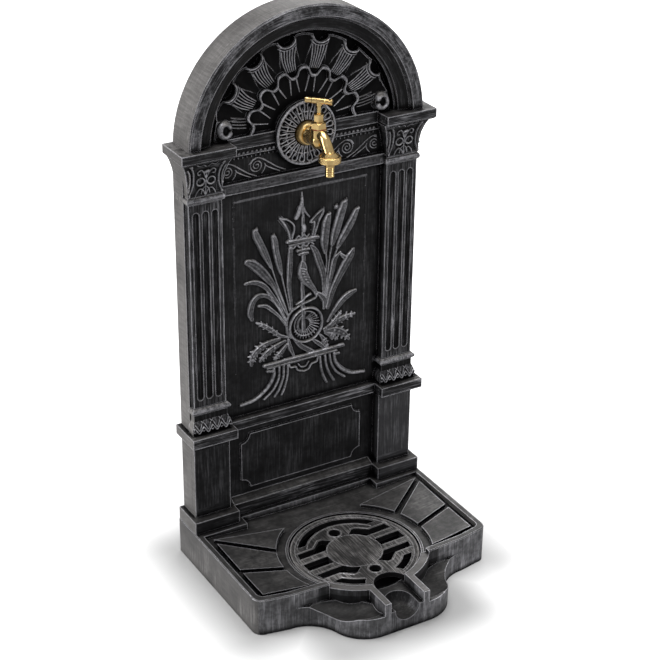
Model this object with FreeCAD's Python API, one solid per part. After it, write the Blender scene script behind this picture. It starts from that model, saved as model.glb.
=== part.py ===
import FreeCAD, Part
import math
import os
from FreeCAD import Vector

# Garden wall fountain: a cast base tray on the ground, a hollow cast back panel
# bolted on it, a loose drain grate and a brass bib tap.
# Millimetres. X runs to the right, -Y to the front, Z up. The drawing works from
# the wall plane (y = 0) and the ground (z = 0); the nodes are written with the
# origin under the middle of the object.

# Base tray
base_half_width = 200.0
base_depth = 342.0
corner_radius = 16.0
side_front_setback = 87.5
rim_front_setback = 81.0
lobe_start_x = 150.0
lobe_front_x = 40.0
rim_top = 60.0
rim_width = 9.5
rim_edge = 1.5
lobe_lip_top = 34.0
shoulder_setback = 77.0
tray_back_y = -66.0
tray_back_middle_y = -46.5
tray_jog_x = 116.0
base_wall = 7.0

# Tray floor and pads
floor_at_ring = 46.5
floor_slope = 0.075
pad_height = 5.8
pad_inner_radius = 118.5
pad_outer_x = 181.0

# Grate, its seat and the sump
grate_front_setback = 150.0
grate_y = grate_front_setback - base_depth
grate_radius = 99.0
grate_turn = 3.0
grate_thickness = 8.5
grate_gap = 1.4
seat_ledge = 8.0
seat_ring_width = 4.0
seat_ring_height = 2.0
hub_disc_radius = 43.0
finger_hole_radius = 9.2
finger_hole_y = 55.3
slot_half_height = 9.0
slot_end_radius = 86.5
side_slot_inner = 23.0
side_slot_outer = 36.0
arc_slot_inner = 74.5
arc_slot_limit = 49.6
notch_radius = 27.5
notch_web = 11.5
sump_floor = 16.0
sump_plate = 6.0
waste_radius = 15.0
ring_wall_radius = 113.0
ring_wall_top = 54.0

# Spout channel and front pockets
channel_half_width = 28.0
channel_wall = 10.0
channel_ledge = 37.0
trough_radius = 20.5
trough_length = 24.0
scoop_x = 80.0
scoop_front_setback = 42.0
scoop_y = scoop_front_setback - base_depth
scoop_z = 46.0
scoop_length = 62.0
scoop_width = 28.0
scoop_depth = 24.0
scoop_turn = 32.0

# Back panel: body
panel_half_width = 191.2
side_wall_front = 30.9
field_front = 25.0
panel_wall = 5.0
arch_z = 665.0
arch_radius = 190.0
arch_front = 51.8
floor_plate = 6.0

# Plinths, pedestals and dado
plinth_inner_x = 124.2
plinth_outer_x = 199.3
plinth_front = 56.8
plinth_top = 80.4
sill_front = 39.0
pedestal_inner_x = 131.7
pedestal_outer_x = 191.0
pedestal_front = 41.4
pedestal_top = 196.3
cap_bottom = 211.1
cap_top = 226.3
cap_inner_x = 126.0
cap_outer_x = 199.9
cap_front = 59.3
band_front = 38.0
tablet_half_width = 105.5
tablet_bottom = 98.5
tablet_top = 193.0
tablet_front = 28.5
tablet_corner = 15.0

# Pilasters
shaft_inner_x = 135.9
shaft_outer_x = 188.2
shaft_front = 40.6
shaft_bottom = 268.6
foot_ring_height = 10.8
foot_ring_swell = 5.6
foot_waist = 1.4
cushion_height = 21.0
cushion_swell = 5.8
cushion_tuck = 0.25
flute_spacing = 14.8
flute_radius = 5.0
flute_depth = 4.0
flute_bottom = 280.3
flute_top = 579.5
astragal_z = 596.0
abacus_bottom = 658.6
abacus_top = 674.6
abacus_inner_x = 122.2
abacus_outer_x = 205.9
abacus_front = 62.1

# Frieze and lintel
architrave_bottom = 593.4
architrave_top = 609.0
architrave_front = 36.0
bead_strip_bottom = 647.0
bead_strip_front = 31.0
frieze_front = 28.0
lintel_bottom = 658.6
lintel_top = 676.3
lintel_front = 35.0
lintel_half_width = 123.0

# Arch mouldings and shell
ring_inner_radius = 171.0
fascia_inner_radius = 152.0
fascia_front = 41.0
niche_radius = 149.0
niche_front = 22.0
shell_radius = 143.0
shell_front = 34.0
shell_waist_radius = 92.0
shell_waist_front = 28.0
ribbon_radius = 85.8
ribbon_wave = 12.5
ribbon_step = 21.8
ribbon_flare = 7.0
ribbon_width = 4.5
ribbon_bump = [(0.14, 0.08), (0.23, 0.5), (0.32, 0.86), (0.5, 1.0), (0.68, 0.86), (0.77, 0.5), (0.86, 0.08)]
ribbon_front = 33.0
shell_step = 22.6
shell_lobes = 7
lobe_cone_start = 60.0
lobe_cone_end_radius = 19.0
bite_radius = 14.0
bite_centre = 146.0
scroll_radius = 13.0
scroll_reach = 129.0

# Tap and rosette
tap_z = 667.0
shank_radius = 10.48
tap_hole_radius = 10.6
tap_wall = 11.0
tap_recess_radius = 27.0
rosette_radius = 48.2
rosette_back = 35.0
rosette_face = 38.5
rosette_rim_front = 41.5
rosette_rim = 3.7
flange_radius = 17.6
flange_depth = 12.0
valve_y = -74.7
outlet_y = -106.0
barrel_radius = 11.6
barrel_collar_radius = 13.0
supply_bore = 7.5
inlet_bore = 4.0
inlet_drop = 6.0
chamber_radius = 12.8
seat_z = 667.0
seat_bore = 6.0
chamber_bore = 8.8
head_z = 684.5
head_wall = 2.4
head_thread_radius = 9.4
plug_depth = 4.5
spout_radius = 8.2
spout_bore = 5.5
outlet_z = 655.5
neck_start_z = 678.5
neck_slope = 52.0
neck_first_bend = 26.0
neck_last_bend = 10.0
outlet_thread_radius = 12.6
outlet_thread_length = 5.5
thread_gap = 0.05
running_gap = 0.05
shank_end = 0.5
thread_groove = 1.5
thread_groove_depth = 1.0
tap_washer_thickness = 2.0
backnut_thickness = 6.5
backnut_flats = 27.0

# Tap head
bonnet_washer_thickness = 1.0
bonnet_flats = 20.0
bonnet_height = 8.5
bonnet_crown = 1.2
bonnet_chamfer = 1.5
neck_radius = 5.2
neck_height = 8.5
packing_wall = 1.2
packing_height = 4.0
gland_flats = 12.5
gland_height = 11.5
gland_flange = 7.2
gland_lift = 0.4
spindle_radius = 3.25
spindle_thread_radius = 5.9
bar_z = 725.0
bar_length = 40.0
bar_turn = -47.0
bar_barrel_radius = 4.5
bar_barrel_length = 20.0
bar_neck_radius = 4.1
bar_end_radius = 4.6
bar_hub_wall = 1.6
bar_hub_height = 6.5
pin_radius = 1.25

# Valve
valve_lift = 4.5
washer_radius = 7.5
washer_thickness = 3.5
jumper_plate = 2.0
jumper_stem_radius = 2.6
jumper_stem_length = 11.0
jumper_stud_radius = 1.5
jumper_nut_flats = 7.0
jumper_nut_height = 2.5
jumper_stud_end = 0.8

# Outlet fittings
union_radius = 16.0
union_step = 1.0
union_lip = 2.0
hose_washer_thickness = 1.8
tail_flange_thickness = 2.0
tail_flange_gap = 0.3
hose_tail_radius = 6.8
hose_tail_bore = 4.6
hose_tail_length = 21.1
hose_tail_plain = 6.0
hose_tail_neck_radius = 6.3
hose_barbs = 4
hose_barb_depth = 0.7

# Bolts between base and panel
bolt_radius = 4.0
bolt_hole_radius = 4.5
bolt_xs = (-160.0, -55.0, 55.0, 160.0)
bolt_y = -17.0
bolt_engagement = 14.0
bolt_head_flats = 13.0
bolt_head_height = 5.3
bolt_washer_radius = 8.0
bolt_washer_thickness = 1.6
bolt_boss_radius = 9.0
bolt_boss_height = 22.0
ledge_plate = 7.0

# Wall fixing eyes
eye_x = 165.0
eye_z = 600.0
eye_hole_radius = 4.5
eye_thickness = 5.0
eye_half_width = 22.0
eye_half_height = 15.0

UP = Vector(0, 0, 1)
OUT = Vector(0, -1, 0)


def box(x0, x1, y0, y1, z0, z1):
    return Part.makeBox(x1 - x0, y1 - y0, z1 - z0, Vector(x0, y0, z0))


def post(x, y, radius, z0, z1):
    return Part.makeCylinder(radius, z1 - z0, Vector(x, y, z0), UP)


def disc(x, z, radius, front, back):
    """A round plate facing the front, between two depths from the wall."""
    return Part.makeCylinder(radius, front - back, Vector(x, -back, z), OUT)


def wire(start, steps):
    """A closed wire in the XY plane: a step is an end point, or a pair (via, end) for an arc."""
    edges = []
    here = Vector(*start, 0)
    for step in steps:
        if isinstance(step[0], tuple):
            via = Vector(*step[0], 0)
            end = Vector(*step[1], 0)
            edges.append(Part.Arc(here, via, end).toShape())
        else:
            end = Vector(*step, 0)
            edges.append(Part.makeLine(here, end))
        here = end
    if here.distanceToPoint(Vector(*start, 0)) > 1e-6:
        edges.append(Part.makeLine(here, Vector(*start, 0)))
    return Part.Wire(edges)


def slab(start, steps, z0, z1):
    face = Part.Face(wire(start, steps))
    face.translate(Vector(0, 0, z0))
    return face.extrude(Vector(0, 0, z1 - z0))


def turned(profile, x=0.0, y=0.0, z=0.0, axis="z"):
    """Revolve (radius, height) points; height runs along +Z, or to the front for axis y."""
    points = [Vector(r, 0, h) for r, h in profile]
    face = Part.Face(Part.makePolygon(points + points[:1]))
    solid = face.revolve(Vector(0, 0, 0), UP, 360)
    if axis == "y":
        solid.rotate(Vector(0, 0, 0), Vector(1, 0, 0), 90)
    solid.translate(Vector(x, y, z))
    return solid


def hexagon(flats, x, y, z0, z1):
    corner = flats / math.sqrt(3)
    angles = [math.radians(60 * i) for i in range(7)]
    points = [Vector(x + corner * math.cos(a), y + corner * math.sin(a), z0) for a in angles]
    return Part.Face(Part.makePolygon(points)).extrude(Vector(0, 0, z1 - z0))


def mirrored(shape):
    return shape.mirror(Vector(0, 0, 0), Vector(1, 0, 0))


def both_sides(shapes):
    return shapes + [mirrored(s) for s in shapes]


def union(shapes):
    return shapes[0].fuse(shapes[1:]).removeSplitter()


def moulding(inner_x, outer_x, front, levels):
    """A moulded block standing out from the wall: levels are (z, swell of the front and both sides)."""
    wires = []
    for z, swell in levels:
        corners = [Vector(inner_x - swell, 0, z), Vector(outer_x + swell, 0, z),
                   Vector(outer_x + swell, -front - swell, z), Vector(inner_x - swell, -front - swell, z)]
        wires.append(Part.makePolygon(corners + corners[:1]))
    return Part.makeLoft(wires, True, True)


# Base tray

def serpentine(x0, y0, x1, y1):
    """Via and end points of two equal arcs that swing from (x0, y0) to (x1, y1), level at both ends."""
    dx = x0 - x1
    dy = y0 - y1
    radius = (dx * dx + dy * dy) / (4 * dy)
    swing = math.asin(dx / (2 * radius)) / 2
    via_a = (x0 - radius * math.sin(swing), y0 - radius * (1 - math.cos(swing)))
    middle = ((x0 + x1) / 2, (y0 + y1) / 2)
    via_b = (x1 + radius * math.sin(swing), y1 + radius * (1 - math.cos(swing)))
    return via_a, middle, via_b, (x1, y1)


def base_outline(inset=0.0):
    """Start and steps of the outline on the ground: square back, round corners, swept front."""
    w = base_half_width - inset
    front = -base_depth + inset
    side_y = side_front_setback - base_depth + inset
    rim_y = rim_front_setback - base_depth + inset
    r = corner_radius - inset / 2
    start_x = lobe_start_x + inset * 0.3
    corner_via = (w - r * 0.29, side_y + r * 0.29)
    via_a, middle, via_b, end = serpentine(start_x, rim_y, lobe_front_x, front)
    right = [(w, side_y + r), (corner_via, (w - r, side_y)), (start_x, rim_y), (via_a, middle),
             (via_b, end)]
    left = [(-end[0], end[1]), (flip(via_b), flip(middle)), (flip(via_a), (-start_x, rim_y)),
            (-w + r, side_y), (flip(corner_via), (-w, side_y + r)), (-w, -inset)]
    return (w, -inset), right + left


def flip(point):
    return (-point[0], point[1])


def rim_outline(inset=0.0):
    """Outline of the full-height body behind the pockets; an inset gives the inside of the rim."""
    w = base_half_width - inset
    side_y = side_front_setback - base_depth + inset
    rim_y = rim_front_setback - base_depth + inset
    r = corner_radius - inset / 2
    shoulder = (shoulder_x(), shoulder_y() + inset)
    via = (w - r * 0.29, side_y + r * 0.29)
    right = [(w, side_y + r), (via, (w - r, side_y)), (lobe_start_x, rim_y), shoulder]
    left = [flip(shoulder), (-lobe_start_x, rim_y), (-w + r, side_y), (flip(via), (-w, side_y + r)),
            (-w, 0)]
    return (w, 0), right + left


def shoulder_y():
    return shoulder_setback - base_depth


def shoulder_x():
    """Where the shoulder meets the ring wall."""
    return math.sqrt(ring_wall_radius ** 2 - (shoulder_y() - grate_y) ** 2)


def floor_cone(lift):
    """Everything below the tray floor, which falls towards the grate."""
    reach = 300.0
    flat = ring_wall_radius
    top = floor_at_ring + lift
    profile = [(0, 0), (reach, 0), (reach, top + (reach - flat) * floor_slope), (flat, top), (0, top)]
    return turned(profile, 0, grate_y, 0)


def tray_recess():
    start, steps = rim_outline(rim_width)
    inside = slab(start, steps, floor_at_ring - 1, rim_top + 10)
    back = box(-base_half_width, base_half_width, tray_back_y, 1, 0, 100)
    middle = box(-tray_jog_x, tray_jog_x, tray_back_y - 1, tray_back_middle_y, 0, 100)
    return inside.cut(back.cut(middle)).cut(floor_cone(0.0))


def pads():
    """Three raised wedge pads on each side, drawn from the grate's centre, tops parallel to the floor."""
    outlines = [
        [(67.0, 97.0), (pad_outer_x, 112.0), (105.0, 54.0), (80.0, 12.0)],
        [(109.0, 43.0), (pad_outer_x, 100.5), (pad_outer_x, 26.5), (117.0, 7.0), (90.0, 7.0)],
        [(117.0, -3.0), (pad_outer_x, 16.5), (pad_outer_x, -44.5), (107.0, -51.0), (90.0, -28.0)],
    ]
    keep_out = post(0, grate_y, pad_inner_radius, 0, 100)
    below = floor_cone(pad_height)
    solids = []
    for outline in outlines:
        corners = [(x, y + grate_y) for x, y in outline]
        solids.append(slab(corners[0], corners[1:], floor_at_ring - 3, 90).cut(keep_out).common(below))
    return both_sides(solids)


def pocket_scoop():
    """The hollow of the left pocket: half an egg, cut off at the ring wall and the channel wall."""
    egg = Part.makeSphere(1.0)
    stretch = FreeCAD.Matrix()
    stretch.scale(scoop_length, scoop_width, scoop_depth)
    egg = egg.transformGeometry(stretch)
    egg.rotate(Vector(0, 0, 0), UP, -scoop_turn)
    egg.translate(Vector(-scoop_x, scoop_y, scoop_z))
    inner_x = channel_half_width + channel_wall
    zone = box(-base_half_width, -inner_x, -base_depth - 10, shoulder_y(), 0, scoop_z)
    zone = zone.cut(post(0, grate_y, ring_wall_radius, 0, 100))
    return egg.common(zone)


def spout_cuts():
    ledge_end = grate_y - sump_radius() + 2
    half = channel_half_width
    channel = box(-half, half, -base_depth - 1, ledge_end, channel_ledge, rim_top + 1)
    trough_end = Vector(0, trough_length - base_depth, channel_ledge)
    trough = Part.makeCylinder(trough_radius, trough_length + 1, trough_end, OUT)
    bowl = Part.makeSphere(trough_radius, trough_end)
    return [channel, trough, bowl]


def seat_radius():
    return grate_radius + grate_gap


def seat_z0():
    return floor_at_ring - grate_thickness


def sump_radius():
    return seat_radius() - seat_ledge


def underside_cuts():
    """The hollow under the casting: a shallow one all over and deep ones round the sump."""
    start, steps = base_outline(base_wall)
    shallow = slab(start, steps, -1, sump_floor - sump_plate)
    side = base_half_width - base_wall
    deep = box(-side, side, -249.0, -base_wall, 0, seat_z0() + 1)
    ledge_room = box(-side, side, tray_back_middle_y + base_wall, -base_wall, 0, rim_top - ledge_plate)
    round_sump = post(0, grate_y, sump_radius() + base_wall, 0, 100)
    return [shallow, deep.cut(round_sump), ledge_room]


def base_tray():
    start, steps = base_outline()
    lower = slab(start, steps, 0, lobe_lip_top)
    start, steps = rim_outline()
    upper = slab(start, steps, 0, rim_top)
    top_edges = [e for e in upper.Edges if abs(e.BoundBox.ZMin - rim_top) < 1e-6 and e.BoundBox.YMax < -1]
    upper = upper.makeChamfer(rim_edge, top_edges)
    ring_wall = post(0, grate_y, ring_wall_radius, 0, ring_wall_top)
    outer = channel_half_width + channel_wall
    channel = box(-outer, outer, -base_depth, grate_y, 0, ring_wall_top)
    body = union([lower, ring_wall, channel, upper.cut(ring_cap())])
    body = body.cut(tray_recess())
    body = body.fuse(pads()).fuse(seat_ring())
    cuts = [post(0, grate_y, seat_radius(), seat_z0(), rim_top + 1),
            post(0, grate_y, sump_radius(), sump_floor, rim_top),
            post(0, grate_y, waste_radius, -1, rim_top)]
    cuts += both_sides([pocket_scoop()]) + spout_cuts() + underside_cuts()
    cuts += [post(x, bolt_y, bolt_hole_radius, 0, rim_top + 1) for x in bolt_xs]
    return body.cut(cuts).removeSplitter()


def ring_cap():
    """Room above the ring wall in front of the shoulder line."""
    x = shoulder_x()
    block = box(-x, x, -base_depth, shoulder_y() + rim_width, ring_wall_top, rim_top + 1)
    return block.common(post(0, grate_y, ring_wall_radius, 0, 100))


def seat_ring():
    top = floor_at_ring + seat_ring_height
    ring = post(0, grate_y, seat_radius() + seat_ring_width, floor_at_ring - 2, top)
    return ring.cut(post(0, grate_y, seat_radius(), 0, 100))


# Drain grate, drawn round its own centre and then turned and put in its seat

def side_slots():
    """Slots to the right of the hub disc; the outer two bend round it towards the finger holes."""
    half = slot_half_height
    middle = box(hub_disc_radius, slot_end_radius, -half, half, -1, grate_thickness + 1)
    knee = 50.0
    bend = [(38.5, side_slot_inner), (83.0, side_slot_inner), (79.5, side_slot_outer),
            (knee, side_slot_outer), (33.0, arc_slot_limit), (27.0, arc_slot_limit), (16.0, 40.5),
            (16.0, 30.0)]
    upper = slab(bend[0], bend[1:], -1, grate_thickness + 1)
    upper = upper.cut(post(0, 0, hub_disc_radius, -2, grate_thickness + 2))
    lower = upper.mirror(Vector(0, 0, 0), Vector(0, 1, 0))
    return [middle, upper, lower]


def arc_slots():
    ring = post(0, 0, slot_end_radius, -1, grate_thickness + 1)
    ring = ring.cut(post(0, 0, arc_slot_inner, -2, grate_thickness + 2))
    back = ring.common(box(-100, 100, arc_slot_limit, 100, -3, 20))
    front = ring.common(box(-100, 100, -100, -arc_slot_limit, -3, 20))
    front = front.cut(post(0, -grate_radius, notch_radius + notch_web, -2, grate_thickness + 2))
    return [back, front]


def grate():
    plate = post(0, 0, grate_radius, 0, grate_thickness)
    edge = [e for e in plate.Edges if abs(e.BoundBox.ZMin - grate_thickness) < 1e-6]
    plate = plate.makeChamfer(0.8, edge)
    holes = [post(0, side * finger_hole_y, finger_hole_radius, -1, grate_thickness + 1) for side in (1, -1)]
    notch = post(0, -grate_radius, notch_radius, -1, grate_thickness + 1)
    solid = plate.cut(holes + [notch] + both_sides(side_slots()) + arc_slots())
    solid.rotate(Vector(0, 0, 0), UP, grate_turn)
    solid.translate(Vector(0, grate_y, seat_z0()))
    return solid


# Back panel

def cove(z0, z1, reach, steps=4):
    """Levels of a hollow moulding that grows out by reach from z0 to z1."""
    turns = [math.pi / 2 * i / steps for i in range(steps + 1)]
    return [(z0 + (z1 - z0) * math.sin(a), reach * (1 - math.cos(a))) for a in turns]


def pedestal():
    shaft = box(pedestal_inner_x, pedestal_outer_x, -pedestal_front, 0, rim_top, cap_bottom)
    plinth = box(plinth_inner_x, plinth_outer_x, -plinth_front, 0, rim_top, plinth_top)
    cap = box(cap_inner_x, cap_outer_x, -cap_front, 0, cap_bottom, cap_top)
    flare = moulding(pedestal_inner_x, pedestal_outer_x, pedestal_front,
                     cove(pedestal_top, cap_bottom, cap_outer_x - pedestal_outer_x - 2))
    return [shaft, plinth, cap, flare]


def pilaster_foot():
    """Levels of the foot: a cushion on the cap block, a waist above it and a half-round ring."""
    levels = []
    cushion = (cap_top, cushion_height, cushion_swell, cushion_tuck)
    ring = (shaft_bottom - foot_ring_height, foot_ring_height, foot_ring_swell, 0.0)
    for start, height, swell, low in (cushion, ring):
        for step in range(7):
            share = low + (1 - low) * step / 6
            bulge = foot_waist + (swell - foot_waist) * math.sin(math.pi * share)
            levels.append((start + height * step / 6, bulge))
    return levels


def pilaster():
    shaft = box(shaft_inner_x, shaft_outer_x, -shaft_front, 0, cap_top, abacus_bottom)
    z = astragal_z
    astragal = [(z - 4, 0.0), (z - 2, 2.6), (z + 1.5, 3.8), (z + 5, 2.6), (z + 7, 0.4)]
    bell = [(z + 7, 0.4), (z + 24, 1.6), (z + 40, 4.2), (z + 52, 8.0), (abacus_bottom, 13.0)]
    grow = abacus_front - shaft_front
    mid_x = (abacus_inner_x + abacus_outer_x) / 2
    half = (abacus_outer_x - abacus_inner_x) / 2 - grow
    abacus = moulding(mid_x - half, mid_x + half, shaft_front,
                      [(abacus_bottom, grow - 3), (abacus_bottom + 3, grow), (abacus_top, grow)])
    foot, ring, bell = [moulding(shaft_inner_x, shaft_outer_x, shaft_front, part)
                        for part in (pilaster_foot(), astragal, bell)]
    beside = box(shaft_outer_x, abacus_outer_x, -side_wall_front, 1, cap_top, abacus_bottom)
    solid = union([shaft, abacus, bell, foot.cut(beside), ring.cut(beside)])
    return [solid.cut(flutes())]


def flutes():
    """Three stopped flutes with round ends in the front of a shaft."""
    mid = (shaft_inner_x + shaft_outer_x) / 2
    y = -shaft_front - (flute_radius - flute_depth)
    z0 = flute_bottom + flute_radius
    z1 = flute_top - flute_radius
    cuts = []
    for i in (-1, 0, 1):
        x = mid + i * flute_spacing
        groove = post(x, y, flute_radius, z0, z1)
        ends = [Part.makeSphere(flute_radius, Vector(x, y, z)) for z in (z0, z1)]
        cuts.append(groove.fuse(ends))
    return cuts


def tablet():
    """The raised dado tablet with hollow-cut corners."""
    w = tablet_half_width
    c = tablet_corner
    plate = box(-w, w, -tablet_front, 0, tablet_bottom, tablet_top)
    corners = [(x, z) for x in (-w, w) for z in (tablet_bottom, tablet_top)]
    return plate.cut([disc(x, z, c, tablet_front + 1, field_front) for x, z in corners])


def entablature():
    band = box(-cap_inner_x, cap_inner_x, -band_front, 0, cap_bottom, cap_top)
    sill = box(-plinth_inner_x, plinth_inner_x, -sill_front, 0, rim_top, plinth_top)
    sill_slope = wedge(plinth_inner_x, sill_front, field_front, plinth_top, plinth_top + 6)
    architrave = box(-shaft_inner_x, shaft_inner_x, -architrave_front, 0, architrave_bottom, architrave_top)
    frieze = box(-shaft_inner_x, shaft_inner_x, -frieze_front, 0, architrave_top, lintel_bottom)
    bead_strip = box(-shaft_inner_x, shaft_inner_x, -bead_strip_front, 0, bead_strip_bottom, lintel_bottom)
    lintel = box(-lintel_half_width, lintel_half_width, -lintel_front, 0, lintel_bottom, lintel_top)
    return [band, sill, sill_slope, architrave, frieze, bead_strip, lintel]


def wedge(half_width, front, back, z0, z1):
    """A sill that slopes up from its front edge to the field behind it."""
    points = [Vector(-half_width, -front, z0), Vector(-half_width, -back, z1), Vector(-half_width, 0, z1),
              Vector(-half_width, 0, z0)]
    return Part.Face(Part.makePolygon(points + points[:1])).extrude(Vector(2 * half_width, 0, 0))


def upper_half(solid):
    r = arch_radius + 1
    return solid.common(box(-r, r, -arch_front - 1, 2, arch_z, arch_z + r))


def archivolt():
    """The stepped arch ring, turned about the arch centre."""
    r = arch_radius
    profile = [(0, 0), (r, 0), (r, arch_front - 2), (r - 2, arch_front),
               (ring_inner_radius + 1.5, arch_front), (ring_inner_radius, arch_front - 4.5),
               (ring_inner_radius - 2, fascia_front + 4),
               (fascia_inner_radius + 1, fascia_front), (fascia_inner_radius - 1, fascia_front - 5),
               (niche_radius, fascia_front - 6), (niche_radius, niche_front), (0, niche_front)]
    return upper_half(turned(profile, 0, 0, arch_z, "y"))


def shell():
    """The shell: a dished disc with hollow lobes, bitten ends, a wavy ribbon and a seat for the rosette."""
    waist = shell_waist_front
    profile = [(0, 0), (shell_radius, 0), (shell_radius, shell_front - 1), (shell_radius - 2, shell_front),
               (shell_radius - 12, shell_front - 1), (shell_waist_radius + 20, waist + 1.5),
               (shell_waist_radius, waist), (0, waist)]
    dish = upper_half(turned(profile, 0, 0, arch_z, "y"))
    dish = dish.cut(lobe_cones()).cut(end_bites())
    return [dish, ribbon()] + end_scrolls()


def shell_angles(count):
    return [90 + shell_step * (i - (count - 1) / 2) for i in range(count)]


def along(angle, radius, depth):
    a = math.radians(angle)
    return Vector(radius * math.cos(a), -depth, arch_z + radius * math.sin(a))


def lobe_cones():
    cones = []
    for angle in shell_angles(shell_lobes):
        start = along(angle, lobe_cone_start, shell_waist_front + 4)
        end = along(angle, shell_radius + 5, shell_front + 9)
        axis = end - start
        cones.append(Part.makeCone(1.0, lobe_cone_end_radius, axis.Length, start, axis))
    return cones


def end_bites():
    bites = []
    for angle in shell_angles(shell_lobes - 1):
        centre = along(angle, bite_centre, niche_front)
        bites.append(disc(centre.x, centre.z, bite_radius, shell_front + 10, niche_front))
    return bites


def wavy_plate(radius, front):
    """A half-round plate with a wavy edge: a bump under each lobe and feet that flare at the lintel."""
    first = 90 - ribbon_step * shell_lobes / 2
    right_foot = [along(0, radius + ribbon_flare, 0), along(first / 2, radius + ribbon_flare / 3, 0)]
    left_foot = [Vector(-p.x, p.y, p.z) for p in reversed(right_foot)]
    wave = []
    for lobe in range(shell_lobes):
        for share, rise in ribbon_bump:
            wave.append(along(first + (lobe + share) * ribbon_step, radius + rise * ribbon_wave, 0))
    points = right_foot + wave + left_foot
    curve = Part.BSplineCurve()
    curve.interpolate(points)
    closing = Part.makeLine(points[-1], points[0])
    face = Part.Face(Part.Wire([curve.toShape(), closing]))
    return face.extrude(Vector(0, -front, 0))


def ribbon():
    """The wavy ribbon between the lobes and the rosette."""
    outer = wavy_plate(ribbon_radius, ribbon_front)
    return outer.cut(wavy_plate(ribbon_radius - ribbon_width, ribbon_front + 1))


def end_scrolls():
    """The rolled ends of the shell, resting on the lintel."""
    scrolls = []
    angle = 90 - shell_step * shell_lobes / 2
    centre = along(angle, scroll_reach, 0)
    r = scroll_radius
    profile = [(0, 0), (r, 0), (r, shell_front - 1), (r - 2.5, shell_front + 2.5), (r - 6, shell_front + 4),
               (0, shell_front + 4)]
    scrolls.append(turned(profile, centre.x, 0, centre.z, "y"))
    return both_sides(scrolls)


def panel_core():
    body = box(-panel_half_width, panel_half_width, -field_front, 0, rim_top, arch_z)
    side = box(shaft_outer_x - 1, panel_half_width, -side_wall_front, 0, rim_top, arch_z)
    return [body] + both_sides([side])


def panel_hollow():
    """The open back: the body, the pilaster backs and the arch ring are hollowed to an even wall."""
    z0 = rim_top + floor_plate
    side = panel_half_width - panel_wall
    body = box(-side, side, -field_front + panel_wall, 1, z0, arch_z)
    pilaster_room = box(shaft_inner_x + panel_wall, side, -shaft_front + panel_wall + flute_depth, 1, z0,
                        abacus_bottom)
    reach = arch_radius - panel_wall
    niche = upper_half(disc(0, arch_z, reach, niche_front - panel_wall, -1))
    ring_room = disc(0, arch_z, reach, fascia_front - panel_wall, -1)
    ring_room = upper_half(ring_room.cut(disc(0, arch_z, niche_radius + panel_wall, fascia_front, -2)))
    return [body, niche, ring_room] + both_sides([pilaster_room])


def back_panel():
    solids = panel_core() + both_sides(pedestal() + pilaster()) + entablature()
    solids += [tablet(), archivolt()] + shell() + [disc(0, tap_z, rosette_radius - 2, rosette_back, 0)]
    body = solids[0].fuse(solids[1:])
    body = body.cut(panel_hollow() + [disc(0, tap_z, tap_recess_radius, rosette_back - tap_wall, -1)])
    bosses = [post(x, bolt_y, bolt_boss_radius, rim_top, rim_top + bolt_boss_height) for x in bolt_xs]
    eye = box(eye_x - eye_half_width, panel_half_width - 1, -eye_thickness, 0, eye_z - eye_half_height,
              eye_z + eye_half_height)
    body = body.fuse(bosses + both_sides([eye]))
    cuts = [disc(0, tap_z, tap_hole_radius, rosette_back + 1, -1)]
    cuts += both_sides([disc(eye_x, eye_z, eye_hole_radius, eye_thickness + 1, -1)])
    cuts += [post(x, bolt_y, bolt_radius + thread_gap, 0, rim_top + bolt_engagement + 2) for x in bolt_xs]
    return body.cut(cuts).removeSplitter()


def rosette_plate():
    r = rosette_radius
    bore = tap_hole_radius
    profile = [(bore, rosette_back), (r, rosette_back), (r, rosette_rim_front - 1),
               (r - 1, rosette_rim_front), (r - rosette_rim + 0.5, rosette_rim_front),
               (r - rosette_rim, rosette_face - 1),
               (r - rosette_rim - 3, rosette_face - 1.5), (flange_radius + 4, rosette_face - 0.5),
               (flange_radius + 1, rosette_face), (bore, rosette_face)]
    return turned(profile, 0, 0, tap_z, "y")


# Bolts between base and panel

def base_bolts():
    under = rim_top - ledge_plate - bolt_washer_thickness
    bolts = []
    for x in bolt_xs:
        shank = post(x, bolt_y, bolt_radius, under, rim_top + bolt_engagement)
        bolts.append(shank.fuse(hexagon(bolt_head_flats, x, bolt_y, under - bolt_head_height, under)))
    return Part.makeCompound(bolts)


def base_washers():
    top = rim_top - ledge_plate
    rings = []
    for x in bolt_xs:
        ring = post(x, bolt_y, bolt_washer_radius, top - bolt_washer_thickness, top)
        rings.append(ring.cut(post(x, bolt_y, bolt_radius + 0.2, 0, 100)))
    return Part.makeCompound(rings)


# Tap

def tap_flange():
    r = flange_radius
    z0 = rosette_face
    bore = tap_hole_radius
    steps = 6
    dome = []
    for i in range(steps + 1):
        a = math.pi / 2 * i / steps
        dome.append((13.5 + (r - 13.5) * math.cos(a), z0 + 3 + (flange_depth - 3) * math.sin(a)))
    profile = [(bore, z0), (r, z0)] + dome + [(bore, z0 + flange_depth)]
    return turned(profile, 0, 0, tap_z, "y")


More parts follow.
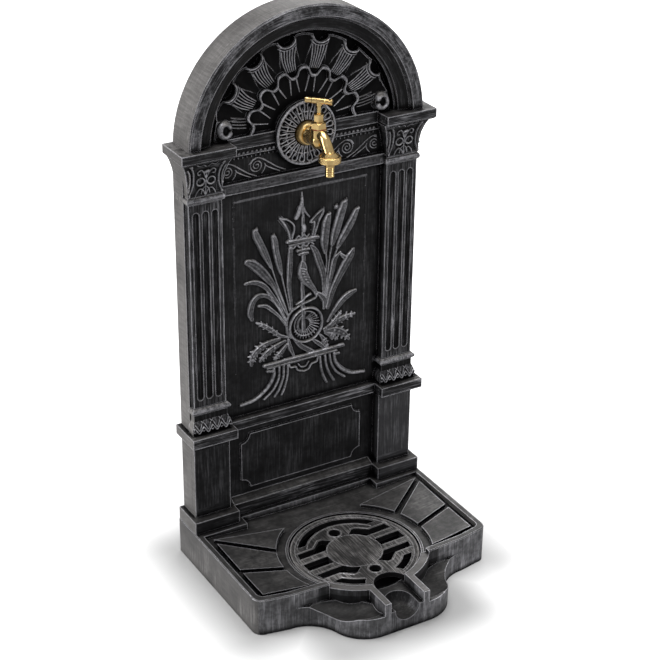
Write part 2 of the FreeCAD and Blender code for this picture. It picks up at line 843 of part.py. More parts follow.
def neck(radius, low):
    """The swan neck: a bend down from the chamber, a straight run, a bend and a drop to low."""
    slope = math.radians(neck_slope)
    run = valve_y - outlet_y - neck_first_bend * math.sin(slope) - neck_last_bend * (1 - math.sin(slope))
    run = run / math.cos(slope)
    pieces = []
    place = Vector(0, valve_y, neck_start_z)
    angle = 0.0
    for bend, turn in ((neck_first_bend, neck_slope), (None, run), (neck_last_bend, 90.0 - neck_slope)):
        a = math.radians(angle)
        ahead = Vector(0, -math.cos(a), -math.sin(a))
        if bend is None:
            pieces.append(Part.makeCylinder(radius, turn, place, ahead))
            place = place + ahead * turn
            continue
        centre = place + Vector(0, math.sin(a), -math.cos(a)) * bend
        ring = Part.Face(Part.Wire([Part.makeCircle(radius, place, ahead)]))
        pieces.append(ring.revolve(centre, Vector(1, 0, 0), turn))
        angle = angle + turn
        a = math.radians(angle)
        place = centre - Vector(0, math.sin(a), -math.cos(a)) * bend
    pieces.append(Part.makeCylinder(radius, place.z - low, Vector(0, outlet_y, low), UP))
    return pieces[0].fuse(pieces[1:])


def outlet_low():
    return outlet_z - outlet_thread_length


def tap_body():
    collar = rosette_face + flange_depth
    depth = -valve_y
    groove_front = tap_backnut_back()
    groove_back = groove_front - thread_groove
    groove_radius = shank_radius - thread_groove_depth
    profile = [(0, shank_end), (shank_radius, shank_end), (shank_radius, groove_back),
               (groove_radius, groove_back), (groove_radius, groove_front), (shank_radius, groove_front),
               (shank_radius, collar), (barrel_collar_radius, collar), (barrel_collar_radius, collar + 2),
               (barrel_radius, collar + 5), (barrel_radius, depth), (0, depth)]
    barrel = turned(profile, 0, 0, tap_z, "y")
    chamber = Part.makeSphere(chamber_radius, Vector(0, valve_y, tap_z))
    head = post(0, valve_y, head_thread_radius + head_wall, tap_z, head_z)
    body = barrel.fuse([chamber, head, neck(spout_radius, outlet_low()), outlet_boss()])
    inlet_z = tap_z - inlet_drop
    cuts = [Part.makeCylinder(supply_bore, collar, Vector(0, 0, tap_z), OUT),
            Part.makeCylinder(inlet_bore, depth - collar + 1, Vector(0, 1 - collar, inlet_z), OUT),
            post(0, valve_y, seat_bore, inlet_z - inlet_bore, seat_z),
            post(0, valve_y, chamber_bore, seat_z, head_z + 1),
            post(0, valve_y, head_thread_radius + thread_gap, head_z - plug_depth - 0.5, head_z + 1),
            post(0, valve_y, chamber_radius + 1, head_z, head_z + 10),
            neck(spout_bore, outlet_low() - 1).cut(post(0, valve_y, chamber_bore - 1, 0, head_z + 10))]
    return body.cut(cuts)


def outlet_boss():
    low = outlet_low()
    r = outlet_thread_radius
    profile = [(0, low), (r, low), (r, outlet_z - 1), (spout_radius, outlet_z + 4), (0, outlet_z + 4)]
    return turned(profile, 0, outlet_y, 0)


def tap_washer():
    back = rosette_back - tap_wall
    ring = disc(0, tap_z, 16.0, back, back - tap_washer_thickness)
    return ring.cut(disc(0, tap_z, shank_radius + thread_gap, back + 1, 0))


def tap_backnut_back():
    return rosette_back - tap_wall - tap_washer_thickness - backnut_thickness


def tap_backnut():
    back = tap_backnut_back()
    nut = hexagon(backnut_flats, 0, 0, back, back + backnut_thickness)
    nut = nut.cut(post(0, 0, shank_radius + thread_gap, 0, 100))
    nut.rotate(Vector(0, 0, 0), Vector(1, 0, 0), 90)
    nut.translate(Vector(0, 0, tap_z))
    return nut


def bonnet_z0():
    return head_z + bonnet_washer_thickness


def bonnet_top():
    return bonnet_z0() + bonnet_height


def bonnet():
    z0 = bonnet_z0()
    top = bonnet_top()
    corner = bonnet_flats / math.sqrt(3)
    plug = post(0, valve_y, head_thread_radius, head_z - plug_depth, z0)
    c = bonnet_chamfer
    rounding = turned([(0, z0), (corner, z0), (corner, top - c), (corner - c, top), (0, top)], 0, valve_y, 0)
    head = hexagon(bonnet_flats, 0, valve_y, z0, top).common(rounding)
    crown_radius = neck_radius + 2
    crown_top = top + bonnet_crown
    profile = [(0, top), (crown_radius + 1, top), (crown_radius, crown_top), (0, crown_top)]
    crown = turned(profile, 0, valve_y, 0)
    stub = post(0, valve_y, neck_radius, top, top + neck_height)
    body = plug.fuse([head, crown, stub])
    cuts = [post(0, valve_y, spindle_thread_radius + running_gap, 0, top + 1),
            post(0, valve_y, spindle_radius + running_gap, 0, bar_z),
            post(0, valve_y, packing_radius(), packing_z(), bar_z)]
    return body.cut(cuts).removeSplitter()


def bonnet_washer():
    ring = post(0, valve_y, head_thread_radius + 1.0, head_z, bonnet_z0())
    return ring.cut(post(0, valve_y, head_thread_radius + 0.1, 0, bar_z))


def packing_radius():
    return neck_radius - packing_wall


def packing_z():
    """Underside of the packing, in the top of the bonnet's neck."""
    return bonnet_top() + neck_height - packing_height


def gland_packing():
    ring = post(0, valve_y, packing_radius(), packing_z(), packing_z() + packing_height)
    return ring.cut(post(0, valve_y, spindle_radius + running_gap, 0, bar_z))


def gland_nut():
    z0 = bonnet_top() + bonnet_crown + gland_lift
    z1 = z0 + gland_height
    body = hexagon(gland_flats, 0, valve_y, z0, z1 - 2)
    r = gland_flange
    collar = turned([(0, z1 - 2), (r, z1 - 2), (r, z1 - 1), (r - 2, z1), (0, z1)], 0, valve_y, 0)
    nut = body.fuse(collar)
    cuts = [post(0, valve_y, neck_radius + thread_gap, 0, bonnet_top() + neck_height),
            post(0, valve_y, spindle_radius + running_gap, 0, bar_z)]
    return nut.cut(cuts).removeSplitter()


def jumper_z():
    """Underside of the jumper plate when the valve is shut."""
    return seat_z + washer_thickness


def spindle():
    low = jumper_z() + jumper_plate
    thread_top = bonnet_top() - valve_lift - 0.3
    profile = [(0, low), (spindle_thread_radius, low), (spindle_thread_radius, thread_top),
               (spindle_radius, thread_top + 1), (spindle_radius, bar_z + 2), (0, bar_z + 2)]
    rod = turned(profile, 0, valve_y, 0)
    socket = post(0, valve_y, jumper_stem_radius + running_gap, 0, low + jumper_stem_length + 1)
    return rod.cut([socket, handle_pin_hole()])


def handle_pin_hole():
    return along_bar(Part.makeCylinder(pin_radius, 20, Vector(-10, 0, 0), Vector(1, 0, 0)), 90)


def along_bar(solid, extra=0.0):
    """Turn a solid drawn along X to the bar's direction and lift it to the bar."""
    solid.rotate(Vector(0, 0, 0), UP, bar_turn + extra)
    solid.translate(Vector(0, valve_y, bar_z))
    return solid


def tee_handle():
    """The cross bar with its thick middle and flared ends, and a hub over the spindle."""
    half = bar_length / 2
    barrel = bar_barrel_length / 2
    end = [(bar_neck_radius, half - 5), (bar_end_radius, half - 2), (bar_end_radius, half - 1),
           (bar_end_radius - 0.8, half)]
    side = [(bar_barrel_radius, barrel - 1), (bar_neck_radius, barrel)] + end
    profile = [(0, -half)] + [(r, -h) for r, h in reversed(side)] + side + [(0, half)]
    bar = turned(profile)
    bar.rotate(Vector(0, 0, 0), Vector(0, 1, 0), 90)
    bar = along_bar(bar)
    hub = post(0, valve_y, spindle_radius + bar_hub_wall, bar_z - bar_hub_height, bar_z)
    hole = post(0, valve_y, spindle_radius, 0, bar_z + 2)
    return bar.fuse(hub).cut([hole, handle_pin_hole()]).removeSplitter()


def handle_pin():
    half = bar_barrel_radius
    pin = Part.makeCylinder(pin_radius, 2 * half, Vector(-half, 0, 0), Vector(1, 0, 0))
    return along_bar(pin, 90)


def jumper():
    z0 = jumper_z()
    z1 = z0 + jumper_plate
    plate = post(0, valve_y, washer_radius + 0.6, z0, z1)
    stem = post(0, valve_y, jumper_stem_radius, z1, z1 + jumper_stem_length)
    stud = post(0, valve_y, jumper_stud_radius, seat_z - jumper_nut_height - jumper_stud_end, z0)
    return plate.fuse([stem, stud]).removeSplitter()


def jumper_washer():
    ring = post(0, valve_y, washer_radius, seat_z, jumper_z())
    return ring.cut(post(0, valve_y, jumper_stud_radius, 0, bar_z))


def jumper_nut():
    nut = hexagon(jumper_nut_flats, 0, valve_y, seat_z - jumper_nut_height, seat_z)
    return nut.cut(post(0, valve_y, jumper_stud_radius, 0, bar_z))


# Outlet fittings: washer, hose tail flange and the nut's lip are stacked under the outlet

def tail_flange_top():
    return outlet_low() - hose_washer_thickness


def tail_flange_radius():
    return outlet_thread_radius - tail_flange_gap


def union_low():
    return tail_flange_top() - tail_flange_thickness - union_lip


def union_nut():
    top = outlet_z - union_step
    low = union_low()
    r = union_radius
    profile = [(0, low), (r - 1.5, low), (r, low + 1.5), (r, top - 1.5), (r - 1.2, top), (0, top)]
    nut = turned(profile, 0, outlet_y, 0)
    cuts = [post(0, outlet_y, outlet_thread_radius + thread_gap, low + union_lip, top + 1),
            post(0, outlet_y, hose_tail_radius + 0.2, low - 1, top)]
    return nut.cut(cuts)


def hose_washer():
    ring = post(0, outlet_y, tail_flange_radius(), tail_flange_top(), outlet_low())
    return ring.cut(post(0, outlet_y, spout_bore, 0, bar_z))


def hose_tail():
    top = tail_flange_top()
    flange_low = top - tail_flange_thickness
    barb_top = union_low() - hose_tail_plain
    low = union_low() - hose_tail_length
    r = hose_tail_radius
    profile = [(hose_tail_bore, top), (tail_flange_radius(), top), (tail_flange_radius(), flange_low),
               (hose_tail_neck_radius, flange_low), (hose_tail_neck_radius, union_low()), (r, union_low()),
               (r, barb_top)]
    pitch = (hose_tail_length - hose_tail_plain - 1.5) / hose_barbs
    for i in range(hose_barbs):
        z = barb_top - pitch * i
        profile += [(r - hose_barb_depth, z - 0.4), (r, z - pitch + 0.8)]
    profile += [(r, low + 1.2), (r - 1.2, low), (hose_tail_bore, low)]
    return turned(profile, 0, outlet_y, 0)


nodes = {
    "base_tray": base_tray,
    "grate": grate,
    "back_panel": back_panel,
    "rosette_plate": rosette_plate,
    "base_bolts": base_bolts,
    "base_washers": base_washers,
    "tap_flange": tap_flange,
    "tap_body": tap_body,
    "tap_washer": tap_washer,
    "tap_backnut": tap_backnut,
    "bonnet": bonnet,
    "bonnet_washer": bonnet_washer,
    "gland_packing": gland_packing,
    "gland_nut": gland_nut,
    "spindle": spindle,
    "tee_handle": tee_handle,
    "handle_pin": handle_pin,
    "jumper": jumper,
    "jumper_washer": jumper_washer,
    "jumper_nut": jumper_nut,
    "union_nut": union_nut,
    "hose_washer": hose_washer,
    "hose_tail": hose_tail,
}

os.makedirs("parts", exist_ok=True)
for name, build in nodes.items():
    shape = build()
    shape.translate(Vector(0, base_depth / 2, 0))
    shape.exportStep("parts/" + name + ".step")
    print(name, "solids", len(shape.Solids), "valid", shape.isValid(), "volume", round(shape.Volume))
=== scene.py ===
from math import cos, degrees, pi, radians, sin

import bpy
import numpy as np
from mathutils import Matrix, Vector
from mathutils.bvhtree import BVHTree


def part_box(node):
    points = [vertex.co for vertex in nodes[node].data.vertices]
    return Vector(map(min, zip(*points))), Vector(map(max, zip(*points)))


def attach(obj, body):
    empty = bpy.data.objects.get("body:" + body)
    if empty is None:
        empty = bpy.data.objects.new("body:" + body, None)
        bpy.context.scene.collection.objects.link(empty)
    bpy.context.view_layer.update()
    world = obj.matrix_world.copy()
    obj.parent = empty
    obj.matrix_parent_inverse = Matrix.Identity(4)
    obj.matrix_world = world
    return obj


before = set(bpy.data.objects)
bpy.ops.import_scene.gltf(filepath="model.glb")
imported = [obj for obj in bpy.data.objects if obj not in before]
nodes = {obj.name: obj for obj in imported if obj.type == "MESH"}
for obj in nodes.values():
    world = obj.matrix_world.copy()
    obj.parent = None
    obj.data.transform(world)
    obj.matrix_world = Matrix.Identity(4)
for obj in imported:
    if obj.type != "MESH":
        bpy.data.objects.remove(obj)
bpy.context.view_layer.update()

MM = 0.001
WALL_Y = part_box("back_panel")[1].y
GRATE_RADIUS = 0.099
GRATE_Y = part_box("grate")[1].y - GRATE_RADIUS
OUTLET_Y = (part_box("union_nut")[0].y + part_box("union_nut")[1].y) / 2
ARCH_Z = 665.0
scene = bpy.context.scene

# Zones of the panel with their own wear or painted shade, in metres: heights above the ground
LEDGES = ((0.594, 0.609), (0.642, 0.677), (0.197, 0.227), (0.060, 0.094))
TRAY_JOINT = 0.0565
PEDESTAL = (0.0600, 0.2100)
CUSHION = (0.2262, 0.2480)
WAIST = (0.2475, 0.2572)
LOW_RING = (0.2578, 0.2690)
SHAFT = (0.2690, 0.5915)
HIGH_RING = (0.5925, 0.6040)
BAND = (0.5938, 0.6090)
ARCH_FOOT = 0.6765
CORNICE_TOP = 0.685
HEIGHT_SPAN = (0.10, 0.85)
# Radii about the arch's middle
NICHE_RADIUS = 0.1495
FASCIA = (0.1490, 0.1685)
ARCH_RING = (0.1690, 0.1905)
ARCH_WALL = 0.1870
# Distances from the panel's middle and from the wall
PIER = (0.1275, 0.1990)
BAND_HALF = 0.1357
SIDE_WALL = 0.1850
# Painted light: across this span, from left to right, the silver grows brighter
RIGHT_LIGHT_SPAN = (-0.19, 0.19)
SHAFT_SIDE_DEPTH = 0.0315
# Zones of the tray: radii and distances from the grate's middle, and heights
RING_WALL = (0.1020, 0.11325)
RING_TOP = 0.0520
SPOUT_WALL = (0.02775, 0.03875)
SPOUT_START = -0.099
WELL_RADIUS = 0.1000
WELL_TOP = 0.0455
SCOOP_RADIUS = 0.1270
SCOOP_START = -0.052
SCOOP_FLOOR = 0.0435
SCOOP_FLOOR_START = -0.063
BOWL_HALF = 0.02725
BOWL_START = -0.0975
BOWL_TOP = 0.0495

# Paint and metal colours
BLACK_PAINT = (0.0032, 0.0031, 0.0034, 1)
SILVER_EDGE = (0.66, 0.655, 0.70, 1)
SILVER_FACE = (0.535, 0.515, 0.505, 1)
BRASS_PALE = (0.86, 0.63, 0.29, 1)
BRASS_DEEP = (0.45, 0.26, 0.075, 1)
PAPER_DARK = (0.45, 0.45, 0.45, 1)
PAPER_LIGHT = (0.47, 0.47, 0.47, 1)
WHITE = (1, 1, 1, 1)

# Mottling: a noise's scale, detail and roughness, the part of its range in use, and the factors this becomes
SPECKS = (150.0, 3.0, 0.65), (0.38, 0.64), (0.65, 1.10)
FILM_GRAIN = (130.0, 4.0, 0.70), (0.35, 0.65), (0.55, 1.45)
LINE_GRAIN = (320.0, 3.0, 0.70), (0.34, 0.62), (0.36, 1.00)
LINE_PATCHES = (70.0, 3.0, 0.60), (0.35, 0.62), (0.62, 1.00)
COAT_PATCHES = (11.0, 3.0, 0.60), (0.36, 0.64), (0.80, 1.20)
COAT_STROKES = (340.0, 3.0, 0.75, (1, 0.10, 1)), (0.36, 0.66), (0.82, 1.20)
LEDGE_STAIN = (60.0, 4.0, 0.70), (0.38, 0.60), (0.25, 1.25)
ARCH_BLOTCH = (40.0, 4.0, 0.65), (0.42, 0.60), (0.005, 0.12)
RUBBED_GRAIN = (210.0, 3.0, 0.65), (0.38, 0.66), (0.35, 1.60)
# Brush strokes, before they are stretched: a noise's scale, detail and roughness
BRUSH_HAIR = (430.0, 3.0, 0.7)
LEVEL_HAIR = (520.0, 4.0, 0.75)
# A surface faces an axis when its normal has this share along it
FACING = (0.6, 0.8)


def place(x, y, z):
    """Millimetres from the middle of the wall foot (x right, y towards the wall, z up) to the frame."""
    return Vector((x * MM, y * MM + WALL_Y, z * MM))


def stand(thing):
    scene.collection.objects.link(thing)


# Materials

class Tree:
    """A small helper to build node materials; spot is the place on the object that is shaded."""

    def __init__(self, name):
        self.material = bpy.data.materials.new(name)
        self.material.use_nodes = True
        self.tree = self.material.node_tree
        self.tree.nodes.clear()
        self.out = self.add("OutputMaterial")
        self.shader = self.add("BsdfPrincipled")
        self.link(self.shader.outputs[0], self.out.inputs["Surface"])
        self.spot = self.add("TexCoord").outputs["Object"]

    def add(self, kind, inputs=None, **settings):
        """A node with its settings, and its inputs linked to sockets or set to values."""
        node = self.tree.nodes.new("ShaderNode" + kind)
        for key, value in settings.items():
            setattr(node, key, value)
        for key, value in (inputs or {}).items():
            self.put(node.inputs[key], value)
        return node

    def link(self, a, b):
        self.tree.links.new(a, b)

    def put(self, target, value):
        if isinstance(value, bpy.types.NodeSocket):
            self.link(value, target)
        else:
            target.default_value = value

    def set(self, name, value):
        self.put(self.shader.inputs[name], value)

    def math(self, operation, a, b=0.0):
        return self.add("Math", {0: a, 1: b}, operation=operation).outputs[0]

    def chain(self, operation, values):
        """Join any number of values from left to right."""
        total = values[0]
        for value in values[1:]:
            total = self.math(operation, total, value)
        return total

    def times(self, *values):
        return self.chain("MULTIPLY", values)

    def plus(self, *values):
        return self.chain("ADD", values)

    def most(self, *values):
        return self.chain("MAXIMUM", values)

    def minus(self, a, b):
        return self.math("SUBTRACT", a, b)

    def size(self, value):
        return self.math("ABSOLUTE", value)

    def reach(self, a, b):
        """The distance of a point from the origin, from its two coordinates."""
        return self.math("SQRT", self.plus(self.times(a, a), self.times(b, b)))

    def axes(self, vector=None):
        return self.add("SeparateXYZ", {0: vector or self.spot}).outputs

    def span(self, value, low, high, to_low=0.0, to_high=1.0, smooth=True):
        ends = {"Value": value, "From Min": low, "From Max": high, "To Min": to_low, "To Max": to_high}
        kind = "SMOOTHSTEP" if smooth else "LINEAR"
        return self.add("MapRange", ends, interpolation_type=kind).outputs[0]

    def fade(self, mask, outside, inside):
        """One factor outside a mask and another inside it."""
        return self.span(mask, 0.0, 1.0, outside, inside, False)

    def past(self, value, edge, soft=0.0005):
        """Nothing below the edge, and one above it."""
        return self.span(value, edge - soft, edge + soft)

    def under(self, value, edge, soft=0.0005):
        """One below the edge, and nothing above it."""
        return self.span(value, edge + soft, edge - soft)

    def within(self, value, low, high, soft=0.0005):
        """One between low and high, and nothing outside them."""
        return self.times(self.past(value, low, soft), self.under(value, high, soft))

    def noise(self, scale, detail=3.0, rough=0.55, stretch=(1, 1, 1), vector=None):
        stretched = self.add("Mapping", {"Vector": vector or self.spot, "Scale": stretch})
        inputs = {"Vector": stretched.outputs[0], "Scale": scale, "Detail": detail, "Roughness": rough}
        return self.add("TexNoise", inputs).outputs["Fac"]

    def mottle(self, noise, used, becomes):
        return self.span(self.noise(*noise), *used, *becomes)

    def air(self, distance, samples):
        """How open a spot is to the air, within a distance in millimetres."""
        inputs = {"Distance": distance * MM}
        return self.add("AmbientOcclusion", inputs, samples=samples).outputs["AO"]

    def blend(self, factor, a, b):
        return self.add("Mix", {"Factor": factor, 2: a, 3: b}, data_type="FLOAT").outputs[0]

    def mix(self, factor, a, b):
        return self.add("Mix", {"Factor": factor, 6: a, 7: b}, data_type="RGBA").outputs[2]

    def bump(self, height, strength, distance):
        """Raise the surface by a height, at most by a distance in millimetres."""
        inputs = {"Height": height, "Strength": strength, "Distance": distance * MM}
        self.set("Normal", self.add("Bump", inputs).outputs[0])


def arch_polar(t, x, z):
    """The rise above the arch's middle, and the radius about it."""
    rise = t.minus(z, ARCH_Z * MM)
    return rise, t.reach(x, rise)


def strokes(t, top, lengthwise):
    """Dry-brush strokes: across mouldings and tops, along the arch ring, upright on all other walls."""
    x, y, z = t.axes()
    rise, radius = arch_polar(t, x, z)
    swing = t.times(t.math("ARCTAN2", rise, x), 0.012)
    ring = t.add("CombineXYZ", {0: radius, 1: swing, 2: y}).outputs[0]
    upright = t.noise(*BRUSH_HAIR, (1, 1, 0.045))
    across = t.noise(*BRUSH_HAIR, (0.05, 0.6, 1))
    level_grain = t.noise(*LEVEL_HAIR, (1, 0.04, 1) if lengthwise else (0.05, 0.8, 1))
    around = t.noise(*BRUSH_HAIR, vector=ring)
    level = t.most(top, *[t.within(z, low, high, 0.001) for low, high in LEDGES])
    arch = t.times(t.past(z, ARCH_FOOT + 0.0005, 0.001), t.past(radius, NICHE_RADIUS - 0.0015, 0.002))
    stroke = t.blend(level, upright, t.blend(top, across, level_grain))
    return t.span(t.blend(arch, stroke, around), 0.44, 0.74)


def walls_and_tops(t):
    """Masks of the panel's outer side walls, of what looks up, and of the niche in the arch."""
    x, y, z = t.axes()
    radius = arch_polar(t, x, z)[1]
    facing = t.axes(t.add("TexCoord").outputs["Normal"])
    side = t.times(t.span(t.size(facing[0]), *FACING), t.past(t.size(x), SIDE_WALL))
    shaft = t.times(t.within(z, *SHAFT), t.past(t.minus(WALL_Y, y), SHAFT_SIDE_DEPTH))
    side = t.times(side, t.fade(shaft, 1.0, 0.08))
    flank = t.times(t.past(radius, ARCH_WALL), t.past(z, ARCH_FOOT - 0.003, 0.0015))
    flank = t.times(flank, t.span(t.size(facing[1]), 0.7, 0.4))
    niche = t.times(t.under(radius, NICHE_RADIUS), t.past(z, ARCH_FOOT + 0.0005))
    return t.most(side, flank), t.span(facing[2], *FACING), niche


def rubbed_zones(t):
    """Silver added on rings, cushions, band and arch ring, and painted light on the pedestals growing to the
    right; where strokes fade; and where all wear fades, with painted shade in the waist.
    """
    x, _, z = t.axes()
    radius = arch_polar(t, x, z)[1]
    across = t.size(x)
    pier = t.within(across, *PIER)
    rings = t.most(t.within(z, *LOW_RING), t.within(z, *HIGH_RING))
    band = t.times(t.within(z, *BAND), t.under(across, BAND_HALF, 0.0002))
    arch = t.times(t.within(radius, *ARCH_RING), t.past(z, ARCH_FOOT))
    cushion = t.within(z, *CUSHION)
    blotch = t.mottle(*ARCH_BLOTCH)
    zones = (rings, pier, 0.22), (cushion, pier, 0.03), (band, 0.045), (arch, blotch)
    total = t.times(t.plus(*[t.times(*zone) for zone in zones]), t.mottle(*RUBBED_GRAIN))
    pedestal = t.times(t.within(z, *PEDESTAL), pier)
    # Painted light: silver on the pedestals grows towards the right
    total = t.plus(total, t.times(pedestal, t.span(x, -0.1, 0.1, 0.002, 0.045)))
    waist = t.times(t.within(z, *WAIST), pier)
    fascia = t.times(t.within(radius, *FASCIA), t.past(z, ARCH_FOOT))
    fewer_strokes = t.times(t.fade(pedestal, 1.0, 0.3), t.fade(fascia, 1.0, 0.25))
    # Painted shade: much less wear in the waist between cushion and ring
    less_wear_and_shade = t.times(t.fade(waist, 1.0, 0.15), t.fade(fascia, 1.0, 0.6), t.past(z, TRAY_JOINT, 0.0015))
    return total, fewer_strokes, less_wear_and_shade


def tray_zones(t):
    """Masks on the tray: rubbed ring and spout walls; all but the scoops' walls, which get painted shade; all
    but the hollows, which get painted shade.
    """
    x, y, z = t.axes()
    away = t.minus(y, GRATE_Y)
    radius = t.reach(x, away)
    across = t.size(x)
    inner, outer = RING_WALL
    ring = t.times(t.past(radius, inner), t.under(radius, outer, 0.00025), t.past(z, RING_TOP))
    wall = t.times(t.within(across, *SPOUT_WALL, 0.00025), t.under(away, SPOUT_START, 0.001))
    # Painted shade: the well under the grate, the back of the scoops' floors and the spout's bowl
    well = t.times(t.under(radius, WELL_RADIUS), t.under(z, WELL_TOP))
    well = t.times(well, t.span(away, -0.085, -0.060, 0.25, 1.0))
    scoop = t.times(t.under(radius, SCOOP_RADIUS, 0.003), t.under(away, SCOOP_START, 0.002))
    floor = t.times(t.under(z, SCOOP_FLOOR), t.under(away, SCOOP_FLOOR_START, 0.003))
    floor = t.times(floor, t.span(radius, 0.1600, 0.1150, 0.0, 0.55))
    bowl = t.times(t.under(across, BOWL_HALF, 0.00025), t.under(away, BOWL_START, 0.0025))
    bowl = t.times(bowl, t.under(z, BOWL_TOP), 0.55)
    unshaded_floor = t.times(t.minus(1.0, well), t.minus(1.0, t.most(floor, bowl)))
    return t.most(ring, wall), t.span(scoop, 0.0, 1.0, 1.0, 0.2), unshaded_floor


def edges(t, radius):
    """How open each spot is to the air, and whether it lies on an outer edge (radius in millimetres)."""
    rounded = t.add("Bevel", {"Radius": radius * MM}, samples=6).outputs[0]
    normal = t.add("NewGeometry").outputs["True Normal"]
    bend = t.add("VectorMath", {0: rounded, 1: normal}, operation="DOT_PRODUCT").outputs["Value"]
    air = t.air(13, 8)
    return air, t.times(t.span(bend, 0.985, 0.88), t.span(air, 0.50, 0.72))


def side_coat_and_sheen(t, side, top, stroke, strength):
    """The thin silver coat over the outer walls, with painted sheen on it: thinner higher up, patchy, and
    stained on the cornice.
    """
    height = t.axes()[2]
    coat = t.times(side, t.fade(stroke, strength * 0.88, strength * 1.14))
    coat = t.times(coat, t.span(height, *HEIGHT_SPAN, 1.22, 0.88, False))
    coat = t.times(coat, t.mottle(*COAT_PATCHES), t.mottle(*COAT_STROKES))
    ledge = t.times(top, t.under(height, CORNICE_TOP, 0.005))
    return t.times(coat, t.blend(ledge, 1.0, t.mottle(*LEDGE_STAIN)))


def cast_metal(name, part="panel", brush=0.30, veil=0.012, top_film_and_sheen=0.045, side_silver_and_sheen=0.24, edge=3.0,
               gloss=0.13):
    """Black paint on a casting, with silver rubbed over whatever stands out, and a silver coat with painted
    sheen over its outer sides.
    """
    t = Tree(name)
    x, y = t.axes()[:2]
    air, corner = edges(t, edge)
    patches = t.noise(22.0, 4.0, 0.6)
    side, top, niche = walls_and_tops(t)
    stroke = strokes(t, top, part == "grate")
    # Painted shade: the reflection weakens in sheltered spots and in the niche
    shine = t.times(t.span(air, 0.5, 0.97, 0.0, gloss), t.fade(niche, 1.0, 0.38))

    # How thick the strokes lie, and a film under them, with painted light on tops and to the right and
    # painted shade in the niche
    depth = t.minus(WALL_Y, y)
    thick = t.times(t.span(patches, 0.36, 0.68, 0.2, 1.0), t.span(depth, 0.027, 0.040, 0.16, 1.25))
    # Painted light: thicker strokes towards the right; painted shade: far fewer strokes in the niche
    thick = t.times(thick, t.span(x, *RIGHT_LIGHT_SPAN, 1.05, 1.60, False), t.fade(niche, 1.0, 0.12))
    # Tops get more film: rubbed silver, with painted sheen from above
    film = t.plus(veil, t.times(top, top_film_and_sheen))
    if part == "tray":
        film = t.plus(film, t.times(t.minus(1.0, top), 0.10))
    # Painted shade: less film in the niche of the arch
    film = t.times(film, t.span(patches, 0.3, 0.7, 0.5, 1.5), t.fade(niche, 1.0, 0.15))
    film = t.times(film, t.mottle(*FILM_GRAIN))
    if part == "panel":
        rubbed, fewer_strokes, less_wear_and_shade = rubbed_zones(t)
        film = t.plus(film, rubbed)
        thick = t.times(thick, fewer_strokes)
    elif part == "grate":
        thick = t.times(thick, t.fade(top, 0.05, 1.0))
    else:
        rim, unshaded_wall, unshaded_floor = tray_zones(t)
        outside = t.most(unshaded_wall, top)
        # Painted light: the tray's film grows brighter towards the right; painted shade: less film on the
        # scoops' walls
        film = t.times(film, outside, t.span(x, *RIGHT_LIGHT_SPAN, 0.75, 1.35, False))
        film = t.plus(film, t.times(rim, top, 0.10))
        thick = t.times(thick, t.fade(top, 1.0, 0.30), outside)
        # Worn silver on the tray's edges, strengthened as a painted highlight
        corner = t.times(corner, 1.45)
        # Painted shade: weaker reflection in the hollows and on the scoops' walls
        shine = t.times(shine, unshaded_floor, t.most(t.span(unshaded_wall, 0.2, 1.0, 0.6, 1.0), top))

    # Silver on open faces, kept out of sheltered spots (dry brush missing them, and painted shade), on worn
    # edges, on raised lines, and the coat with painted sheen on the outer sides
    flat = t.times(t.plus(t.times(stroke, thick, brush), film), t.span(air, 0.62, 0.97))
    worn = t.times(corner, t.mottle(*SPECKS), t.span(patches, 0.25, 0.6, 0.75, 1.0))
    worn = t.times(worn, t.span(stroke, 0.0, 0.7, 0.75, 1.0, False))
    if part == "panel":
        worn, flat = t.times(worn, less_wear_and_shade), t.times(flat, less_wear_and_shade)
    raised = t.add("Attribute", attribute_name="silver").outputs["Fac"]
    lines = t.times(raised, t.mottle(*LINE_GRAIN), t.mottle(*LINE_PATCHES))
    total = t.most(flat, worn, lines, side_coat_and_sheen(t, side, top, stroke, side_silver_and_sheen))
    total = t.math("MINIMUM", total, 1.0)
    if part == "grate":
        total = t.times(total, t.fade(top, 0.1, 1.0))
    # Painted shade: no silver in the tray's hollows
    if part == "tray":
        total = t.times(total, unshaded_floor)

    silver = t.mix(t.times(t.most(side, top), t.minus(1.0, worn)), SILVER_EDGE, SILVER_FACE)
    t.set("Base Color", t.mix(total, BLACK_PAINT, silver))
    t.set("Roughness", t.fade(total, 0.50, 0.32))
    t.set("Metallic", t.fade(total, 0.0, 0.6))
    t.set("Specular IOR Level", shine)
    grain = t.plus(t.noise(420.0, 3.0, 0.6), t.times(t.noise(60.0, 2.0), 0.8))
    t.bump(t.plus(grain, t.times(stroke, 0.35)), 0.3, 0.45)
    return t.material


def knurls(t):
    """Crossed grooves about the outlet's axis."""
    x, y, z = t.axes()
    turn = t.times(t.math("ARCTAN2", t.minus(y, OUTLET_Y), x), 24.0)
    rise = t.times(z, 1700.0)
    return t.times(*[t.size(t.math("SINE", wave)) for wave in (t.plus(turn, rise), t.minus(turn, rise))])


def brass(name, knurl=False, low=0.16, high=0.24, dents=0.05):
    """Lacquered brass with painted shade in its hollows; low and high bound its roughness."""
    t = Tree(name)
    cloud = t.span(t.noise(60.0, 3.0, 0.6), 0.3, 0.7, 0.55, 1.0)
    # Painted shade: the brass darkens where the spot is sheltered
    tone_and_shade = t.times(cloud, t.span(t.air(9, 6), 0.3, 0.9))
    t.set("Base Color", t.mix(tone_and_shade, BRASS_DEEP, BRASS_PALE))
    t.set("Metallic", 1.0)
    t.set("Roughness", t.span(t.noise(200.0, 3.0), 0.3, 0.7, low, high))
    if knurl:
        t.bump(knurls(t), 0.5, 0.5)
    else:
        t.bump(t.noise(90.0, 2.0), dents, 0.5)
    return t.material


